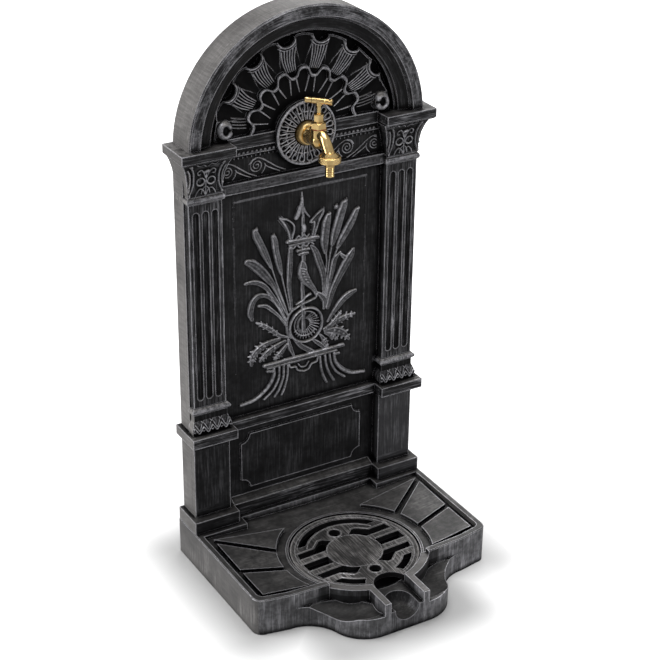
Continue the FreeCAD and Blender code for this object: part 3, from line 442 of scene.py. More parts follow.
def plain(name, colour, rough, metallic=0.0):
    """A small hidden part: its colour varies a little and its surface is slightly grained."""
    t = Tree(name)
    cloud = t.span(t.noise(300.0, 4.0), 0.3, 0.7)
    dark, light = [(*[min(1, c * share) for c in colour], 1) for share in (0.8, 1.15)]
    t.set("Base Color", t.mix(cloud, dark, light))
    t.set("Roughness", t.span(cloud, 0, 1, rough - 0.06, rough + 0.06))
    t.set("Metallic", metallic)
    t.bump(cloud, 0.2, 0.2)
    return t.material


CAST = cast_metal("cast_panel")
CAST_TRAY = cast_metal("cast_tray", "tray", top_film_and_sheen=0.042, side_silver_and_sheen=0.125, edge=2.0, gloss=0.45)
CAST_GRATE = cast_metal("cast_grate", "grate", brush=0.52, top_film_and_sheen=0.014, edge=1.3, gloss=0.3)
CAST_ROSETTE = cast_metal("cast_rosette", brush=0.10, veil=0.003, top_film_and_sheen=0.02)
CAST_CARVED = cast_metal("cast_carved", brush=0.10, veil=0.004, top_film_and_sheen=0.01, edge=0.5)
BRASS = brass("brass")
BRASS_CAST = brass("brass_cast", low=0.30, high=0.42, dents=0.6)
BRASS_KNURLED = brass("brass_knurled", knurl=True)
ZINC = plain("zinc", (0.55, 0.56, 0.57), 0.38, 1.0)
RUBBER = plain("rubber", (0.02, 0.02, 0.02), 0.7)
FIBRE = plain("fibre", (0.30, 0.07, 0.04), 0.75)

DRESS = (
    (CAST, "back_panel"),
    (CAST_ROSETTE, "rosette_plate"),
    (CAST_GRATE, "grate"),
    (CAST_TRAY, "base_tray"),
    (BRASS, "tap_body tap_backnut bonnet gland_nut spindle tee_handle handle_pin"),
    (BRASS, "jumper jumper_nut hose_tail"),
    (BRASS_CAST, "tap_flange"),
    (BRASS_KNURLED, "union_nut"),
    (ZINC, "base_bolts base_washers"),
    (RUBBER, "tap_washer jumper_washer hose_washer"),
    (FIBRE, "bonnet_washer gland_packing"),
)
for material, names in DRESS:
    for name in names.split():
        data = nodes[name].data
        data.materials.clear()
        data.materials.append(material)


# Carving: raised drawings on the casting's own surface

LEAST_RELIEF = 0.03
# The plane of a carving: its origin and the directions of u, of v and out of the face
FRONT = ((0, WALL_Y, 0), (1, 0, 0), (0, 0, 1), (0, -1, 0))


def unit(values):
    return np.clip(values, 0, 1)


def smooth_line(points, per=6):
    """A rounded line through given points (rows of any length: place, half width, height)."""
    p = np.array(points, float)
    if len(p) < 3:
        return p
    ends = np.vstack([2 * p[0] - p[1], p, 2 * p[-1] - p[-2]])
    out = []
    for i in range(1, len(ends) - 2):
        a, b, c, d = ends[i - 1:i + 3]
        for k in range(per):
            t = k / per
            out.append(0.5 * (2 * b + (c - a) * t + (2 * a - 5 * b + 4 * c - d) * t * t
                              + (3 * b - a - 3 * c + d) * t ** 3))
    out.append(p[-1])
    return np.array(out)


def arc_path(x, z, radius, low=0, high=360, count=17):
    """An arc of evenly spaced points, between two angles in degrees."""
    angles = np.radians(np.linspace(low, high, count))
    return [(x + radius * cos(a), z + radius * sin(a)) for a in angles]


def section(kind, rel, off, width):
    """A stroke's cross-section: its rise and its silver, from the middle (rel 0) to the edge (rel 1)."""
    if kind == "round":
        lift = np.sqrt(1 - rel ** 2)
        return lift, unit(lift * 1.6 - 0.6)
    if kind == "leaf":
        groove = np.exp(-(off / (0.10 * width + 0.3)) ** 2)
        lift = np.sqrt(1 - rel ** 4) * (0.66 + 0.34 * unit(rel * 1.5)) + 0.10 * groove
        shine = 0.16 + 0.68 * unit((rel - 0.5) * 4) + 0.22 * groove
        return lift, shine * unit((1 - rel) * 6)
    if kind == "pod":
        lift = np.sqrt(1 - rel ** 4) * (0.68 + 0.32 * unit(rel * 1.6))
        shine = 0.30 + 0.56 * unit((rel - 0.45) * 3.4)
        return lift, shine * unit((1 - rel) * 5)
    shine = 0.30 + 0.40 * unit((rel - 0.4) * 4)
    return unit((1 - rel) * 4), shine * unit((1 - rel) * 8)


class Carving:
    """A grid in one face's own plane (u across, v up, millimetres) that strokes are raised on."""

    def __init__(self, u0, u1, v0, v1, step):
        self.us = np.arange(u0, u1 + step / 2, step)
        self.vs = np.arange(v0, v1 + step / 2, step)
        self.step = step
        self.h = np.zeros((len(self.vs), len(self.us)))
        self.s = np.zeros_like(self.h)

    def stroke(self, points, width, height, silver=1.0, kind="round", curved=True):
        """Raise a line: points are (u, v) or (u, v, width share); width is its half width."""
        p = np.array([(*q, 1.0) if len(q) == 2 else q for q in points], float)
        if curved:
            p = smooth_line(p)
        reach = width * p[:, 2].max() + self.step
        low, high = p[:, :2].min(0) - reach, p[:, :2].max(0) + reach
        cols = slice(*np.searchsorted(self.us, [low[0], high[0]]))
        rows = slice(*np.searchsorted(self.vs, [low[1], high[1]]))
        box = rows, cols
        u, v = np.meshgrid(self.us[cols], self.vs[rows])
        if not u.size:
            return
        nearest, off, share = (np.full(u.shape, fill) for fill in (9.0, 99.0, 1.0))
        for a, b in zip(p[:-1], p[1:]):
            d = b[:2] - a[:2]
            t = unit(((u - a[0]) * d[0] + (v - a[1]) * d[1]) / max(d @ d, 1e-9))
            gap = np.hypot(u - a[0] - t * d[0], v - a[1] - t * d[1])
            w = np.maximum(width * (a[2] + (b[2] - a[2]) * t), 0.05)
            closer = gap / w < nearest
            nearest = np.where(closer, gap / w, nearest)
            off = np.where(closer, gap, off)
            share = np.where(closer, np.minimum(1.0, 0.35 + 0.65 * w / width), share)
        rel = unit(nearest)
        lift, shine = section(kind, rel, off, width)
        lift = lift * height * share * (rel < 1)
        shine = silver * shine * (rel < 1)
        higher = lift > self.h[box]
        self.s[box] = np.where(higher, shine, self.s[box])
        self.h[box] = np.maximum(self.h[box], lift)

    def bar(self, points, width, height, silver=1.0, kind="round"):
        """Raise a line with straight stretches."""
        self.stroke(points, width, height, silver, kind, curved=False)

    def draw(self, lines):
        for line in lines:
            self.stroke(*line)

    def field(self, function):
        """Raise by a formula of (u, v), which gives heights and how silver they are."""
        u, v = np.meshgrid(self.us, self.vs)
        lift, shine = function(u, v)
        self.h = np.maximum(self.h, lift)
        self.s = np.maximum(self.s, shine)

    def ground(self, node, near, plane, far=120.0):
        """The height of the node's surface under each near grid point, seen from far out along -out."""
        data = nodes[node].data
        tree = BVHTree.FromPolygons([v.co for v in data.vertices], [p.vertices for p in data.polygons])
        origin, across, up, out = plane
        base = np.full(self.h.shape, np.nan)
        for j, i in zip(*np.nonzero(near)):
            start = origin + across * (self.us[i] * MM) + up * (self.vs[j] * MM) + out * (far * MM)
            hit = tree.ray_cast(start, -out)
            if hit[0] is not None:
                base[j, i] = far - hit[3] / MM
        return base

    def piece(self, name, node="back_panel", plane=FRONT, sink=0.35, limit=None, body="fountain",
              material=CAST_CARVED, steep=3.0):
        """Lay the grid on the node's surface, where that lies between the limits, and keep what is raised."""
        raised = self.h > LEAST_RELIEF
        near = raised.copy()
        near[1:] |= raised[:-1]
        near[:-1] |= raised[1:]
        near[:, 1:] |= near[:, :-1].copy()
        near[:, :-1] |= near[:, 1:].copy()
        # Painted light: flanks facing up and left get more silver, as if lit from the upper left
        slope = np.gradient(self.h, self.step)
        facing = np.clip((slope[1] - slope[0]) * 0.7, -1, 1)
        shine = unit(self.s * (0.72 + 0.60 * facing))
        plane = [Vector(v) for v in plane]
        base = self.ground(node, near, plane)
        if limit:
            base[(base < limit[0]) | (base > limit[1])] = np.nan
        rows, cols = np.nonzero(near & ~np.isnan(base))
        index = np.full(self.h.shape, -1)
        index[rows, cols] = np.arange(len(rows))
        a, b, c, d = index[:-1, :-1], index[:-1, 1:], index[1:, 1:], index[1:, :-1]
        good = (a >= 0) & (b >= 0) & (c >= 0) & (d >= 0)
        quads = np.stack([a[good], b[good], c[good], d[good]], 1)
        jump = np.ptp(base[rows, cols][quads], axis=1)
        alive = raised[rows, cols][quads].any(axis=1)
        quads = quads[(jump < steep) & alive]
        used = np.unique(quads)
        renumber = np.full(len(rows), -1)
        renumber[used] = np.arange(len(used))
        depth = (base + np.where(raised, self.h, -sink))[rows, cols]
        origin, across, up, out = (np.array(v) for v in plane)
        points = (origin + np.outer(self.us[cols[used]] * MM, across) + np.outer(self.vs[rows[used]] * MM, up)
                  + np.outer(depth[used] * MM, out))
        if plane[1].cross(plane[2]).dot(plane[3]) < 0:
            quads = quads[:, ::-1]
        mesh = bpy.data.meshes.new(name)
        mesh.from_pydata(points.tolist(), [], renumber[quads].tolist())
        mesh.polygons.foreach_set("use_smooth", [True] * len(mesh.polygons))
        silver = mesh.attributes.new("silver", "FLOAT", "POINT")
        silver.data.foreach_set("value", shine[rows[used], cols[used]].astype(np.float32))
        mesh.materials.append(material)
        piece = bpy.data.objects.new(name, mesh)
        stand(piece)
        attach(piece, body)


# The marsh relief on the panel: points (x, z and width share where it isn't one), half width, rise, silver

STALK_RISE, POD_RISE, BLADE_RISE = 3.0, 5.6, 4.4
FEATHERS = 6
RIBS = 17


def cattails(sheet):
    """Stalks, seed heads and the rounded tips of the heads."""
    stalks = [
        ([(-50, 462), (-44, 442), (-35, 415), (-27, 392), (-22, 374)], 1.3),
        ([(-34, 448), (-29, 425), (-24, 402), (-20, 384)], 1.2),
        ([(-51, 437), (-41, 415), (-31, 391), (-23, 376)], 1.1),
        ([(-58, 424), (-46, 404), (-34, 384), (-25, 368)], 1.0),
        ([(42, 467), (43, 450), (41, 430), (40, 405), (40, 385)], 1.4),
        ([(52, 477), (48, 455), (45, 430), (43, 405), (41, 385)], 1.4),
        ([(64, 474), (56, 455), (50, 435), (46, 410), (43, 388)], 1.4),
    ]
    for points, width in stalks:
        sheet.stroke(points, width, STALK_RISE, 0.6)
    pods = [
        ([(-77, 525, .75), (-75, 518), (-68, 503), (-59, 482, .95), (-51, 463, .45)], 5.6),
        ([(-47, 511, .7), (-45, 503), (-43, 487), (-38, 465, .95), (-34, 448, .4)], 5.2),
        ([(45, 524, .7), (42, 514), (40, 498), (39, 483, .95), (41, 466, .4)], 7.2),
        ([(72, 538, .8), (67, 526), (62, 510), (57, 494, .95), (53, 478, .5)], 7.6),
        ([(93, 523, .7), (85, 508), (76, 494), (67, 480, .85), (62, 470, .4)], 6.6),
    ]
    for points, width in pods:
        sheet.stroke(points, width, POD_RISE, kind="pod")
    tips = (-75, 527, 3.0), (-47, 512, 2.6), (47, 527, 2.6), (75, 543, 2.8), (96, 526, 2.4), (58, 536, 4.0)
    for u, v, radius in tips:
        sheet.bar([(u, v), (u + 0.5, v + 1)], radius, POD_RISE - 0.6, 0.9)


def leaves(sheet):
    blades = [
        ([(-90, 479, .6), (-80, 473, .95), (-66, 458), (-54, 442, .8), (-45, 428, .5), (-28, 388, .3)], 7.4),
        ([(-94, 445, .4), (-78, 444, .85), (-63, 435, .9), (-50, 418, .6), (-38, 398, .5), (-27, 372, .4)],
         4.4),
        ([(-83, 384, .5), (-86, 397, .95), (-82, 412, .9), (-73, 420, .8), (-60, 418, .6), (-48, 408, .5),
          (-38, 393, .45), (-25, 366, .4)], 5.4),
        ([(-72, 404, .5), (-60, 401, .85), (-48, 390, .8), (-37, 378, .6), (-26, 361, .5)], 3.4),
        ([(-18, 485, .8), (-19, 470), (-20, 450), (-21, 425, .8), (-18, 400, .6), (-17, 386, .5)], 4.6),
        ([(17, 482, .4), (24, 472, .85), (30, 455), (36, 438, .9), (39, 420, .7), (39, 400, .5)], 5.6),
        ([(67, 461, .3), (57, 452, .9), (53, 435, .9), (49, 418, .7), (45, 395, .5), (41, 376, .4)], 4.8),
        ([(90, 461, .3), (85, 453, .85), (76, 440), (64, 420, .85), (54, 400, .7), (46, 374, .5)], 7.4),
        ([(66, 460, .3), (73, 452, .8), (79, 448, .7)], 4.0),
        ([(94, 391, .55), (84, 388, .95), (72, 381), (60, 368, .8), (46, 350, .3)], 5.4),
        ([(27, 403, .4), (34, 397, .9), (40, 387), (39, 374, .5)], 4.2),
        ([(-22, 336, .5), (-19, 322, .9), (-13, 307, .5)], 3.8),
        ([(-12, 334, .5), (0, 320, .9), (14, 309, .9), (28, 299, .5)], 4.4),
        ([(20, 326, .5), (31, 316, .9), (44, 303, .5)], 4.0),
    ]
    for points, width in blades:
        sheet.stroke(points, width, BLADE_RISE, kind="leaf")
    toothed = [
        ([(-76, 377, .3), (-63, 369, .8), (-50, 358, .8), (-38, 347, .7), (-22, 340, .4)], 4.2, 4),
        ([(-85, 309, .5), (-83, 322, .9), (-74, 332, 1), (-60, 338, .8), (-38, 341, .5)], 5.6, 5),
        ([(-70, 312, .5), (-60, 322, 1), (-46, 329, .9), (-28, 335, .5)], 5.0, 4),
        ([(-46, 309, .5), (-37, 316, 1), (-25, 328, .6)], 4.4, 3),
        ([(93, 352, .4), (75, 350, .9), (57, 345, .9), (40, 338, .4)], 5.4, 4),
        ([(69, 362, .4), (62, 353, .9), (52, 344, .9), (42, 336, .4)], 4.0, 3),
        ([(84, 311, .4), (72, 325, 1), (58, 333, .9), (42, 334, .4)], 5.8, 4),
        ([(63, 316, .4), (53, 325, .9), (42, 331, .4)], 4.6, 3),
        ([(46, 307, .5), (40, 320, .9), (33, 331, .4)], 4.0, 3),
    ]
    for points, width, teeth in toothed:
        jagged(sheet, points, width, teeth)


def jagged(sheet, points, width, teeth):
    """A leaf with a toothed edge: the blade and short points that lean forward on both sides."""
    sheet.stroke(points, width, BLADE_RISE, kind="leaf")
    line = smooth_line(points, 8)
    for k in range(teeth):
        i = int((0.16 + 0.68 * k / teeth) * (len(line) - 1))
        ahead = line[min(i + 2, len(line) - 1), :2] - line[max(i - 2, 0), :2]
        ahead = ahead / max(np.hypot(*ahead), 1e-6)
        side = np.array([-ahead[1], ahead[0]])
        reach = width * line[i, 2]
        for flip in (-1, 1):
            root = line[i, :2] + side * flip * reach * 0.3
            tip = line[i, :2] + side * flip * reach * 1.45 - ahead * reach * 0.75
            sheet.bar([(*root, 1), (*tip, 0.45)], width * 0.34, BLADE_RISE * 0.95, kind="leaf")


def flat_bars(sheet, lines):
    for points, width, height in lines:
        sheet.bar(points, width, height, kind="flat")


def trident(sheet):
    """The trident with its crossbars and ribbon, and the shaft below the bird."""
    sheet.draw([
        ([(-35, 536), (-28, 527), (-21, 515), (-18, 500)], 4.2, 2.0, .12),
        ([(36, 536), (30, 528), (22, 519), (19, 499)], 4.2, 2.0, .12),
        ([(-36, 537), (-22, 531), (-12, 519), (-16, 500)], 1.3, 3.4, .8),
        ([(-36, 537), (-28, 525), (-22, 512), (-19, 500)], 1.3, 3.4, .8),
        ([(37, 537), (28, 533), (15, 521), (22, 518), (18, 497)], 1.3, 3.4, .8),
        ([(37, 537), (36, 530), (30, 521), (22, 498)], 1.3, 3.4, .8),
    ])
    rods = [
        ([(3, 533), (3, 500)], 2.7, 2.6), ([(3, 486), (4, 461)], 3.0, 3.0), ([(2, 424), (4, 346)], 3.0, 3.0),
        ([(-24, 497), (27, 495)], 2.4, 5.0), ([(-19, 490), (22, 490)], 1.8, 3.4),
        ([(-7, 479), (12, 479)], 2.2, 4.2), ([(-4, 473), (10, 473)], 2.0, 4.2),
    ]
    flat_bars(sheet, rods)
    sheet.draw([
        ([(1, 570, .3), (1, 560, .8), (1, 550), (2, 541, .8), (3, 531, .7)], 3.4, 4.0, 1.0),
        ([(1, 556, .4), (-3, 546, .9), (-6, 537), (-9, 532, .9)], 4.2, 4.6, 1.0),
        ([(3, 549, .6), (7, 538, .8), (14, 529, .4)], 2.2, 3.4, .9),
        ([(4, 520, .3), (4, 514), (4, 509, .8)], 4.8, 4.6, 1.0),
        ([(-10, 498, .7), (-5, 503), (-1, 499, .8), (4, 504), (8, 499, .8), (13, 502, .7)], 1.4, 3.6, .7),
        ([(-21, 487), (-14, 485, .8), (-8, 489, .8), (-3, 484, .9), (3, 486, .8), (9, 484, .9),
          (14, 489, .8), (20, 485)], 1.7, 3.8, .8),
    ])


def scrolls_and_bird(sheet):
    """The scrolls below the bird, its body, and the feathers on its wing."""
    sheet.draw([
        ([(26, 401), (24, 396), (14, 393), (4, 391), (-6, 388), (-16, 383, .8)], 1.8, 4.2, .9),
        ([(-9, 392, .7), (1, 396), (9, 402), (15, 404, 1.2)], 2.1, 4.0, .9),
        ([(6, 384, .6), (20, 379), (32, 369), (37, 354, .7)], 1.5, 3.6, .8),
        ([(-13, 386, .8), (-22, 376), (-25, 363), (-24, 348), (-18, 338, .8)], 2.4, 3.6, .6),
    ])
    body = [(2, 460, .3), (2, 451, .85), (2, 441), (7, 430, .9), (14, 420, .65), (21, 411, .45),
            (26, 401, .35)]
    sheet.stroke(body, 8.4, 6.0, kind="pod")
    for k in range(FEATHERS):
        feather = [(-4 + k * 2.2, 452 - k * 5.2), (7 + k * 1.8, 447 - k * 4.6)]
        sheet.bar(feather, 0.8, 5.9 - k * 0.3, 0.5)


def bowl_and_water(sheet):
    """The flat bowl at the foot of the relief, and the water that runs down from it."""
    rims = [
        ([(-64, 302), (73, 304)], 2.6, 5.0), ([(-58, 296), (62, 297)], 1.6, 3.4),
        ([(-58, 291), (-50, 289)], 2.2, 3.4), ([(60, 291), (66, 291)], 2.2, 3.4),
    ]
    flat_bars(sheet, rims)
    sheet.draw([
        ([(-21, 298, .8), (-19, 288), (-10, 287), (-6, 280), (1, 277), (6, 276), (13, 278),
          (18, 285), (27, 287), (30, 298, .8)], 1.5, 3.6, .8),
        ([(-5, 290, .8), (0, 284), (8, 284), (13, 290, .8)], 1.4, 3.0, .6),
        ([(-47, 293, .8), (-47, 283, .9), (-53, 270), (-66, 257), (-82, 248), (-104, 245, .9)],
         3.4, 4.2, .8),
        ([(-38, 293), (-39, 275), (-48, 258), (-64, 245)], 2.2, 3.6, .75),
        ([(-30, 293), (-31, 275), (-37, 258), (-46, 245)], 2.2, 3.6, .75),
        ([(-23, 293), (-24, 275), (-28, 258), (-34, 245)], 2.0, 3.6, .75),
        ([(33, 293), (35, 275), (39, 260), (45, 246)], 2.0, 3.6, .75),
        ([(42, 293), (44, 277), (50, 260), (58, 246)], 2.2, 3.6, .75),
        ([(50, 293), (53, 277), (62, 260), (77, 247)], 2.2, 3.6, .75),
        ([(58, 293, .8), (61, 277, .9), (72, 262), (88, 251), (112, 247, .9)], 3.4, 4.2, .8),
    ])


def sea_shell(sheet):
    """The coiled shell in the middle: a ring, an inner coil, ribs that fan out, and its lip."""
    sheet.stroke(arc_path(8, 354, 28), 2.1, 5.0, 0.95)
    sheet.stroke(arc_path(8, 356, 20, degrees(0.4), 360 - degrees(0.8), 15), 1.2, 3.0, 0.4)
    for i in range(RIBS):
        a = radians(-150 + i * 14)
        root = (5 + 10 * cos(a), 355 + 10 * sin(a), .7)
        tip = (9 + 22 * cos(a - .2), 353 + 22 * sin(a - .2), .8)
        sheet.stroke([root, tip], 1.5, 2.8, 0.22)
    lip = [(7, 373, .7), (-3, 366), (-6, 354), (-1, 344, .9), (8, 341, .6)]
    sheet.stroke(lip, 2.6, 3.4, 0.5)


def frame_lines(sheet):
    """The worn line round the panel: faint stretches on its left, right and top edges."""
    side, top, rise = 110.5, 575.5, 0.7
    sheet.draw([
        ([(-side, 575, .5), (-side, 560), (-side, 548, .6)], 2.4, rise, .10),
        ([(-side, 535, .6), (-side, 500), (-side, 465, .7), (-side, 430), (-side, 395, .5)], 2.5, rise, .17),
        ([(-side, 395, .6), (-side, 350, .8), (-side, 300, .5)], 2.2, rise, .07),
        ([(side, 575, .6), (side, 540, .8), (side, 480, .6)], 2.2, rise, .08),
        ([(side, 480, .6), (side, 450), (side, 415, .8), (side, 360, .6), (side, 300, .5)], 2.4, rise, .14),
        ([(-109, top, .7), (-90, 576), (-60, 576, .9), (-20, top, .6), (10, 576), (60, 576),
          (80, top, .7), (109, top)], 2.6, rise, .40),
    ])


def panel_relief():
    sheet = Carving(-113, 115, 240, 579, 0.7)
    for subject in (cattails, leaves, trident, bowl_and_water, scrolls_and_bird, sea_shell, frame_lines):
        subject(sheet)
    sheet.piece("marsh_relief")


# The shell in the arch

SHELL_FLOOR = 676.6
FLUTES = 6
LOBES = 7
FLUTE_STEP = 22.6
WAVE_STEP = 21.8
WAVE_RADIUS = 83.55
WAVE_RISE = 12.5
WAVE_START = 90 - WAVE_STEP * 3.5
WAVE_BUMP = [(0.14, 0.08), (0.23, 0.5), (0.32, 0.86), (0.5, 1.0), (0.68, 0.86), (0.77, 0.5), (0.86, 0.08)]


def polar(angle, radius, across=0.0):
    """A point about the arch centre: angle in degrees, radius, and a step across the radius in mm."""
    a = radians(angle)
    return (radius * cos(a) + across * sin(a), ARCH_Z + radius * sin(a) - across * cos(a))


def shell_flutes():
    """Ridges and rims of the six outer flutes, the edge between them, and the scrolls at both ends."""
    sheet = Carving(-147, 147, SHELL_FLOOR, 812, 0.55)
    ridge = ((127.0, 11.6, 0.0), (119, 10.6, .7), (110, 9.4, 1), (101, 8.3, .6), (93, 7.3, 0))
    for k in range(FLUTES):
        middle = 90 + FLUTE_STEP * (k - 2.5)
        lean = 1.6 if k < 3 else -1.6
        for j in range(6):
            side = (j - 2.5) / 2.5
            line = [(*polar(middle, r, side * half + lean * bow), 0.65 + 0.35 * (r - 90) / 37)
                    for r, half, bow in ridge]
            sheet.stroke(line, 0.9, 2.0, 0.85)
        for reach, spread, width, height, silver in ((15.6, 62, 1.5, 2.2, 1.0), (19.4, 48, 0.8, 1.4, .5)):
            rim = [polar(middle, 146 - reach * cos(b), reach * sin(b))
                   for b in np.radians(np.linspace(-spread, spread, 9))]
            sheet.stroke(rim, width, height, silver)
    for k in range(FLUTES + 1):
        middle = 90 + FLUTE_STEP * (k - 3)
        edge = [polar(middle + off, 141.2) for off in (-5.6 if k else 0, 0, 5.6 if k < FLUTES else 0)]
        sheet.stroke(edge, 1.0, 1.2, 0.20)
    for side in (-1, 1):
        for j in range(4):
            z = 687.5 + j * 4.6
            leaf = [(side * 113, z + 3.2, .8), (side * 101, z + 0.2), (side * 90, z - 1.4, .6)]
            sheet.stroke(leaf, 1.2, 1.8, 0.30)
        angles = np.radians(range(-150, 151, 25))
        roll = [(side * (127 + 8.2 * cos(a)), 691 + 10 * sin(a)) for a in angles]
        sheet.stroke(roll, 4.0, 5.0)
    sheet.piece("shell_flutes", limit=(24, 50))


def shell_ribbon():
    """The wave whose crests follow the lobes of the niche."""
    sheet = Carving(-104, 104, SHELL_FLOOR, 766, 0.65)
    right = [polar(0, WAVE_RADIUS + 7.0), polar(WAVE_START / 2, WAVE_RADIUS + 7.0 / 3)]
    path = list(right)
    for lobe in range(LOBES):
        path += [polar(WAVE_START + (lobe + share) * WAVE_STEP, WAVE_RADIUS + WAVE_RISE * rise)
                 for share, rise in WAVE_BUMP]
    path += [(-u, v) for u, v in reversed(right)]
    sheet.stroke(path, 2.0, 1.4)
    sheet.piece("shell_ribbon", limit=(30, 36), sink=0.2)


def shell_tongues():
    """A pair of tongues in each lobe."""
    sheet = Carving(-92, 92, SHELL_FLOOR, 762, 0.65)
    for lobe in range(LOBES):
        middle = WAVE_START + (lobe + 0.5) * WAVE_STEP
        for side in (-1, 1):
            tongue = [(*polar(middle + side * off, radius), share)
                      for off, radius, share in ((7.4, 84, 1), (6.6, 74, .85), (4.2, 59, .35))]
            sheet.stroke(tongue, 1.15, 2.2, 0.7)
    sheet.piece("shell_tongues", limit=(20, 31.5))


# Rosette, frieze, capitals and cushions

ROSETTE_Z = 667
PETALS = 20
PIER_X = 162


def rosette_petals():
    """Two rings of petals with their spines, inside a raised rim."""
    sheet = Carving(-49, 49, ROSETTE_Z - 49, ROSETTE_Z + 49, 0.5)
    rings = ((19.5, 31, 0.0, 2.7, 0.72, 2.6), (30.5, 44, 0.5, 4.1, 0.9, 3.0))
    for r0, r1, turn, half, width, height in rings:
        for i in range(PETALS):
            a = 2 * pi * (i + turn) / PETALS
            loop = [(r0, 0.42), (r0 + 0.45 * (r1 - r0), 0.8), (r1 - 0.75 * half, 1.0), (r1 - 0.1 * half, 0.6),
                    (r1, 0.0)]
            loop += [(r, -share) for r, share in reversed(loop[:-1])]
            points = [(r * cos(a) - half * share * sin(a),
                       ROSETTE_Z + r * sin(a) + half * share * cos(a)) for r, share in loop]
            sheet.stroke(points, width * 1.15, height)
            spine = [(r * cos(a), ROSETTE_Z + r * sin(a)) for r in (r0 + 1.0, r0 + 0.5 * (r1 - r0))]
            sheet.bar(spine, width * 0.8, height * 0.6, 0.35)

    def rim(u, v):
        off = unit(np.abs(np.hypot(u, v - ROSETTE_Z) - 46.3) / 2.3)
        return 0.9 * np.sqrt(1 - off ** 2), 1.0 * (off < 0.9)

    sheet.field(rim)
    sheet.piece("rosette_petals", "rosette_plate", sink=0.2, material=CAST_ROSETTE)


def spiral(x, z, outer, side, inner=1.4, turns=2.1):
    """A curl that starts at its top and winds inwards."""
    points = []
    count = int(turns * 10)
    for i in range(count + 1):
        a = radians(90 - 360 * turns * i / count)
        r = outer + (inner - outer) * i / count
        points.append((x + side * r * cos(a), z + r * sin(a)))
    return points


def beads(u, v):
    """A row of beads, and the drops that hang between two mouldings below them."""
    pitch, radius = 6.9, 2.5
    du = (u + pitch / 2) % pitch - pitch / 2
    lift = np.sqrt(np.clip(radius ** 2 - du ** 2 - (v - 650.8) ** 2, 0, None)) * 1.2
    drop = unit(1 - np.abs(du) / 2.2) * unit(1 - np.abs(v - 643.6) / 3.4) * 3.0
    inside = np.abs(u) < 121
    bright = unit(lift - 1.3) * 0.52
    return np.maximum(lift, drop) * inside, np.maximum(bright, unit(drop - 0.9) * 0.07) * inside


def frieze():
    """Curls with their tendrils, mirrored about the tap, under the row of beads."""
    sheet = Carving(-124, 124, 609.8, 658, 0.55)
    curves = [
        ([(11.5, 4), (6, 10.2), (-2, 11.6), (-10.5, 8), (-21, .5), (-34, -8.5), (-46, -14.5)], .85, 1.5, .44),
        ([(-13, .5), (-16, -3.5), (-27, -10), (-37, -15)], .8, 1.4, .4),
        ([(-14, -2.5), (-12, -8), (-8, -13)], .75, 1.4, .5),
    ]
    for side in (-1, 1):
        for x, z, radius in ((74, 627, 11.0), (120.5, 625.5, 10.2)):
            sheet.stroke(spiral(side * x, z, radius, side), 0.85, 1.5, 0.44)
            for points, *rest in curves:
                sheet.stroke([(side * (x + du), z + dv) for du, dv in points], *rest)
    sheet.field(beads)
    sheet.piece("frieze_scrolls", limit=(20, 34))


def capital_leaves(side, hand):
    """Leaves, berries and scrolls, each half mirrored about the pilaster's middle."""
    sheet = Carving(*sorted((side * 133, side * 192)), 602.5, 658.3, 0.55)
    middle = side * PIER_X
    halves = [
        ([(27, 654, .6), (22, 647), (19.5, 636), (20, 622), (24, 611, .9), (26, 605, .6)],
         1.25, 3.6, 0.62),
        ([(30, 650, .6), (26, 641), (24.5, 629), (25.5, 617, .9), (27, 609, .6)], 1.0, 3.0, 0.5),
        (arc_path(8.2, 626.5, 6.0, count=13), 1.0, 3.0, 0.55),
        ([(12.6, 622.8, .8), (8.4, 621.0), (4.2, 622.8, .8)], 1.4, 3.4, 0.95),
        ([(1.5, 633), (3.6, 640), (8.5, 645.5), (13.5, 643), (12.5, 638.2), (9.5, 638.5)], 0.9, 2.6, 0.32),
        ([(1.0, 607), (4, 613.5), (9, 615.5), (13.5, 611), (15.5, 606)], 1.0, 2.6, 0.38),
        ([(2, 618), (5, 614), (6.5, 608)], 0.9, 2.6, 0.4),
        ([(2, 651), (6, 654), (12, 652.5), (16, 655)], 0.9, 1.8, 0.18),
    ]
    for flip in (-1, 1):
        for points, *rest in halves:
            sheet.stroke([(middle + flip * q[0], *q[1:]) for q in points], *rest)
        for du, v, radius, silver in ((25.5, 607, 2.1, 1.0), (26, 620, 1.8, .9), (24.5, 653, 2.4, .6)):
            berry = [(middle + flip * du, v), (middle + flip * (du + 0.3), v + 0.6)]
            sheet.bar(berry, radius, 4.0, silver)
    sheet.stroke([(middle, 606), (middle, 622), (middle, 638)], 1.0, 3.0, 0.5)
    sheet.bar([(middle - 1.5, 642), (middle + 2, 643)], 2.8, 4.2)
    sheet.piece("capital_leaves_" + hand)


def cushion_weave(side, hand):
    """Crossed strands on the rounded cushion at the pilaster's foot."""
    sheet = Carving(*sorted((side * 124, side * 199)), 226.8, 250, 0.5)
    pitch, count = 14.6, 6
    for i in range(count):
        u = side * PIER_X + (i - 2.5) * pitch
        for lift, width, silver in ((0.0, 1.3, 1.0), (4.6, 1.05, 0.55)):
            for flip in (-1, 1):
                strand = [(u + flip * (7.0 - lift * 0.4), 239.0 + lift, .8), (u + flip * 0.6, 229.4 + lift)]
                sheet.bar(strand, width, 2.6, silver)
        between = u + pitch / 2
        sheet.bar([(between - 2.6, 247.5), (between, 244.6), (between + 2.6, 247.5)], 0.9, 2.0, 0.45)
        sheet.bar([(between - 1.4, 233.0), (between, 231.4), (between + 1.4, 233.0)], 0.9, 1.8, 0.5)
    sheet.piece("cushion_weave_" + hand, limit=(30, 62))


# Raised lines on the grate, beside its slots

GRATE_TURN = radians(3.0)


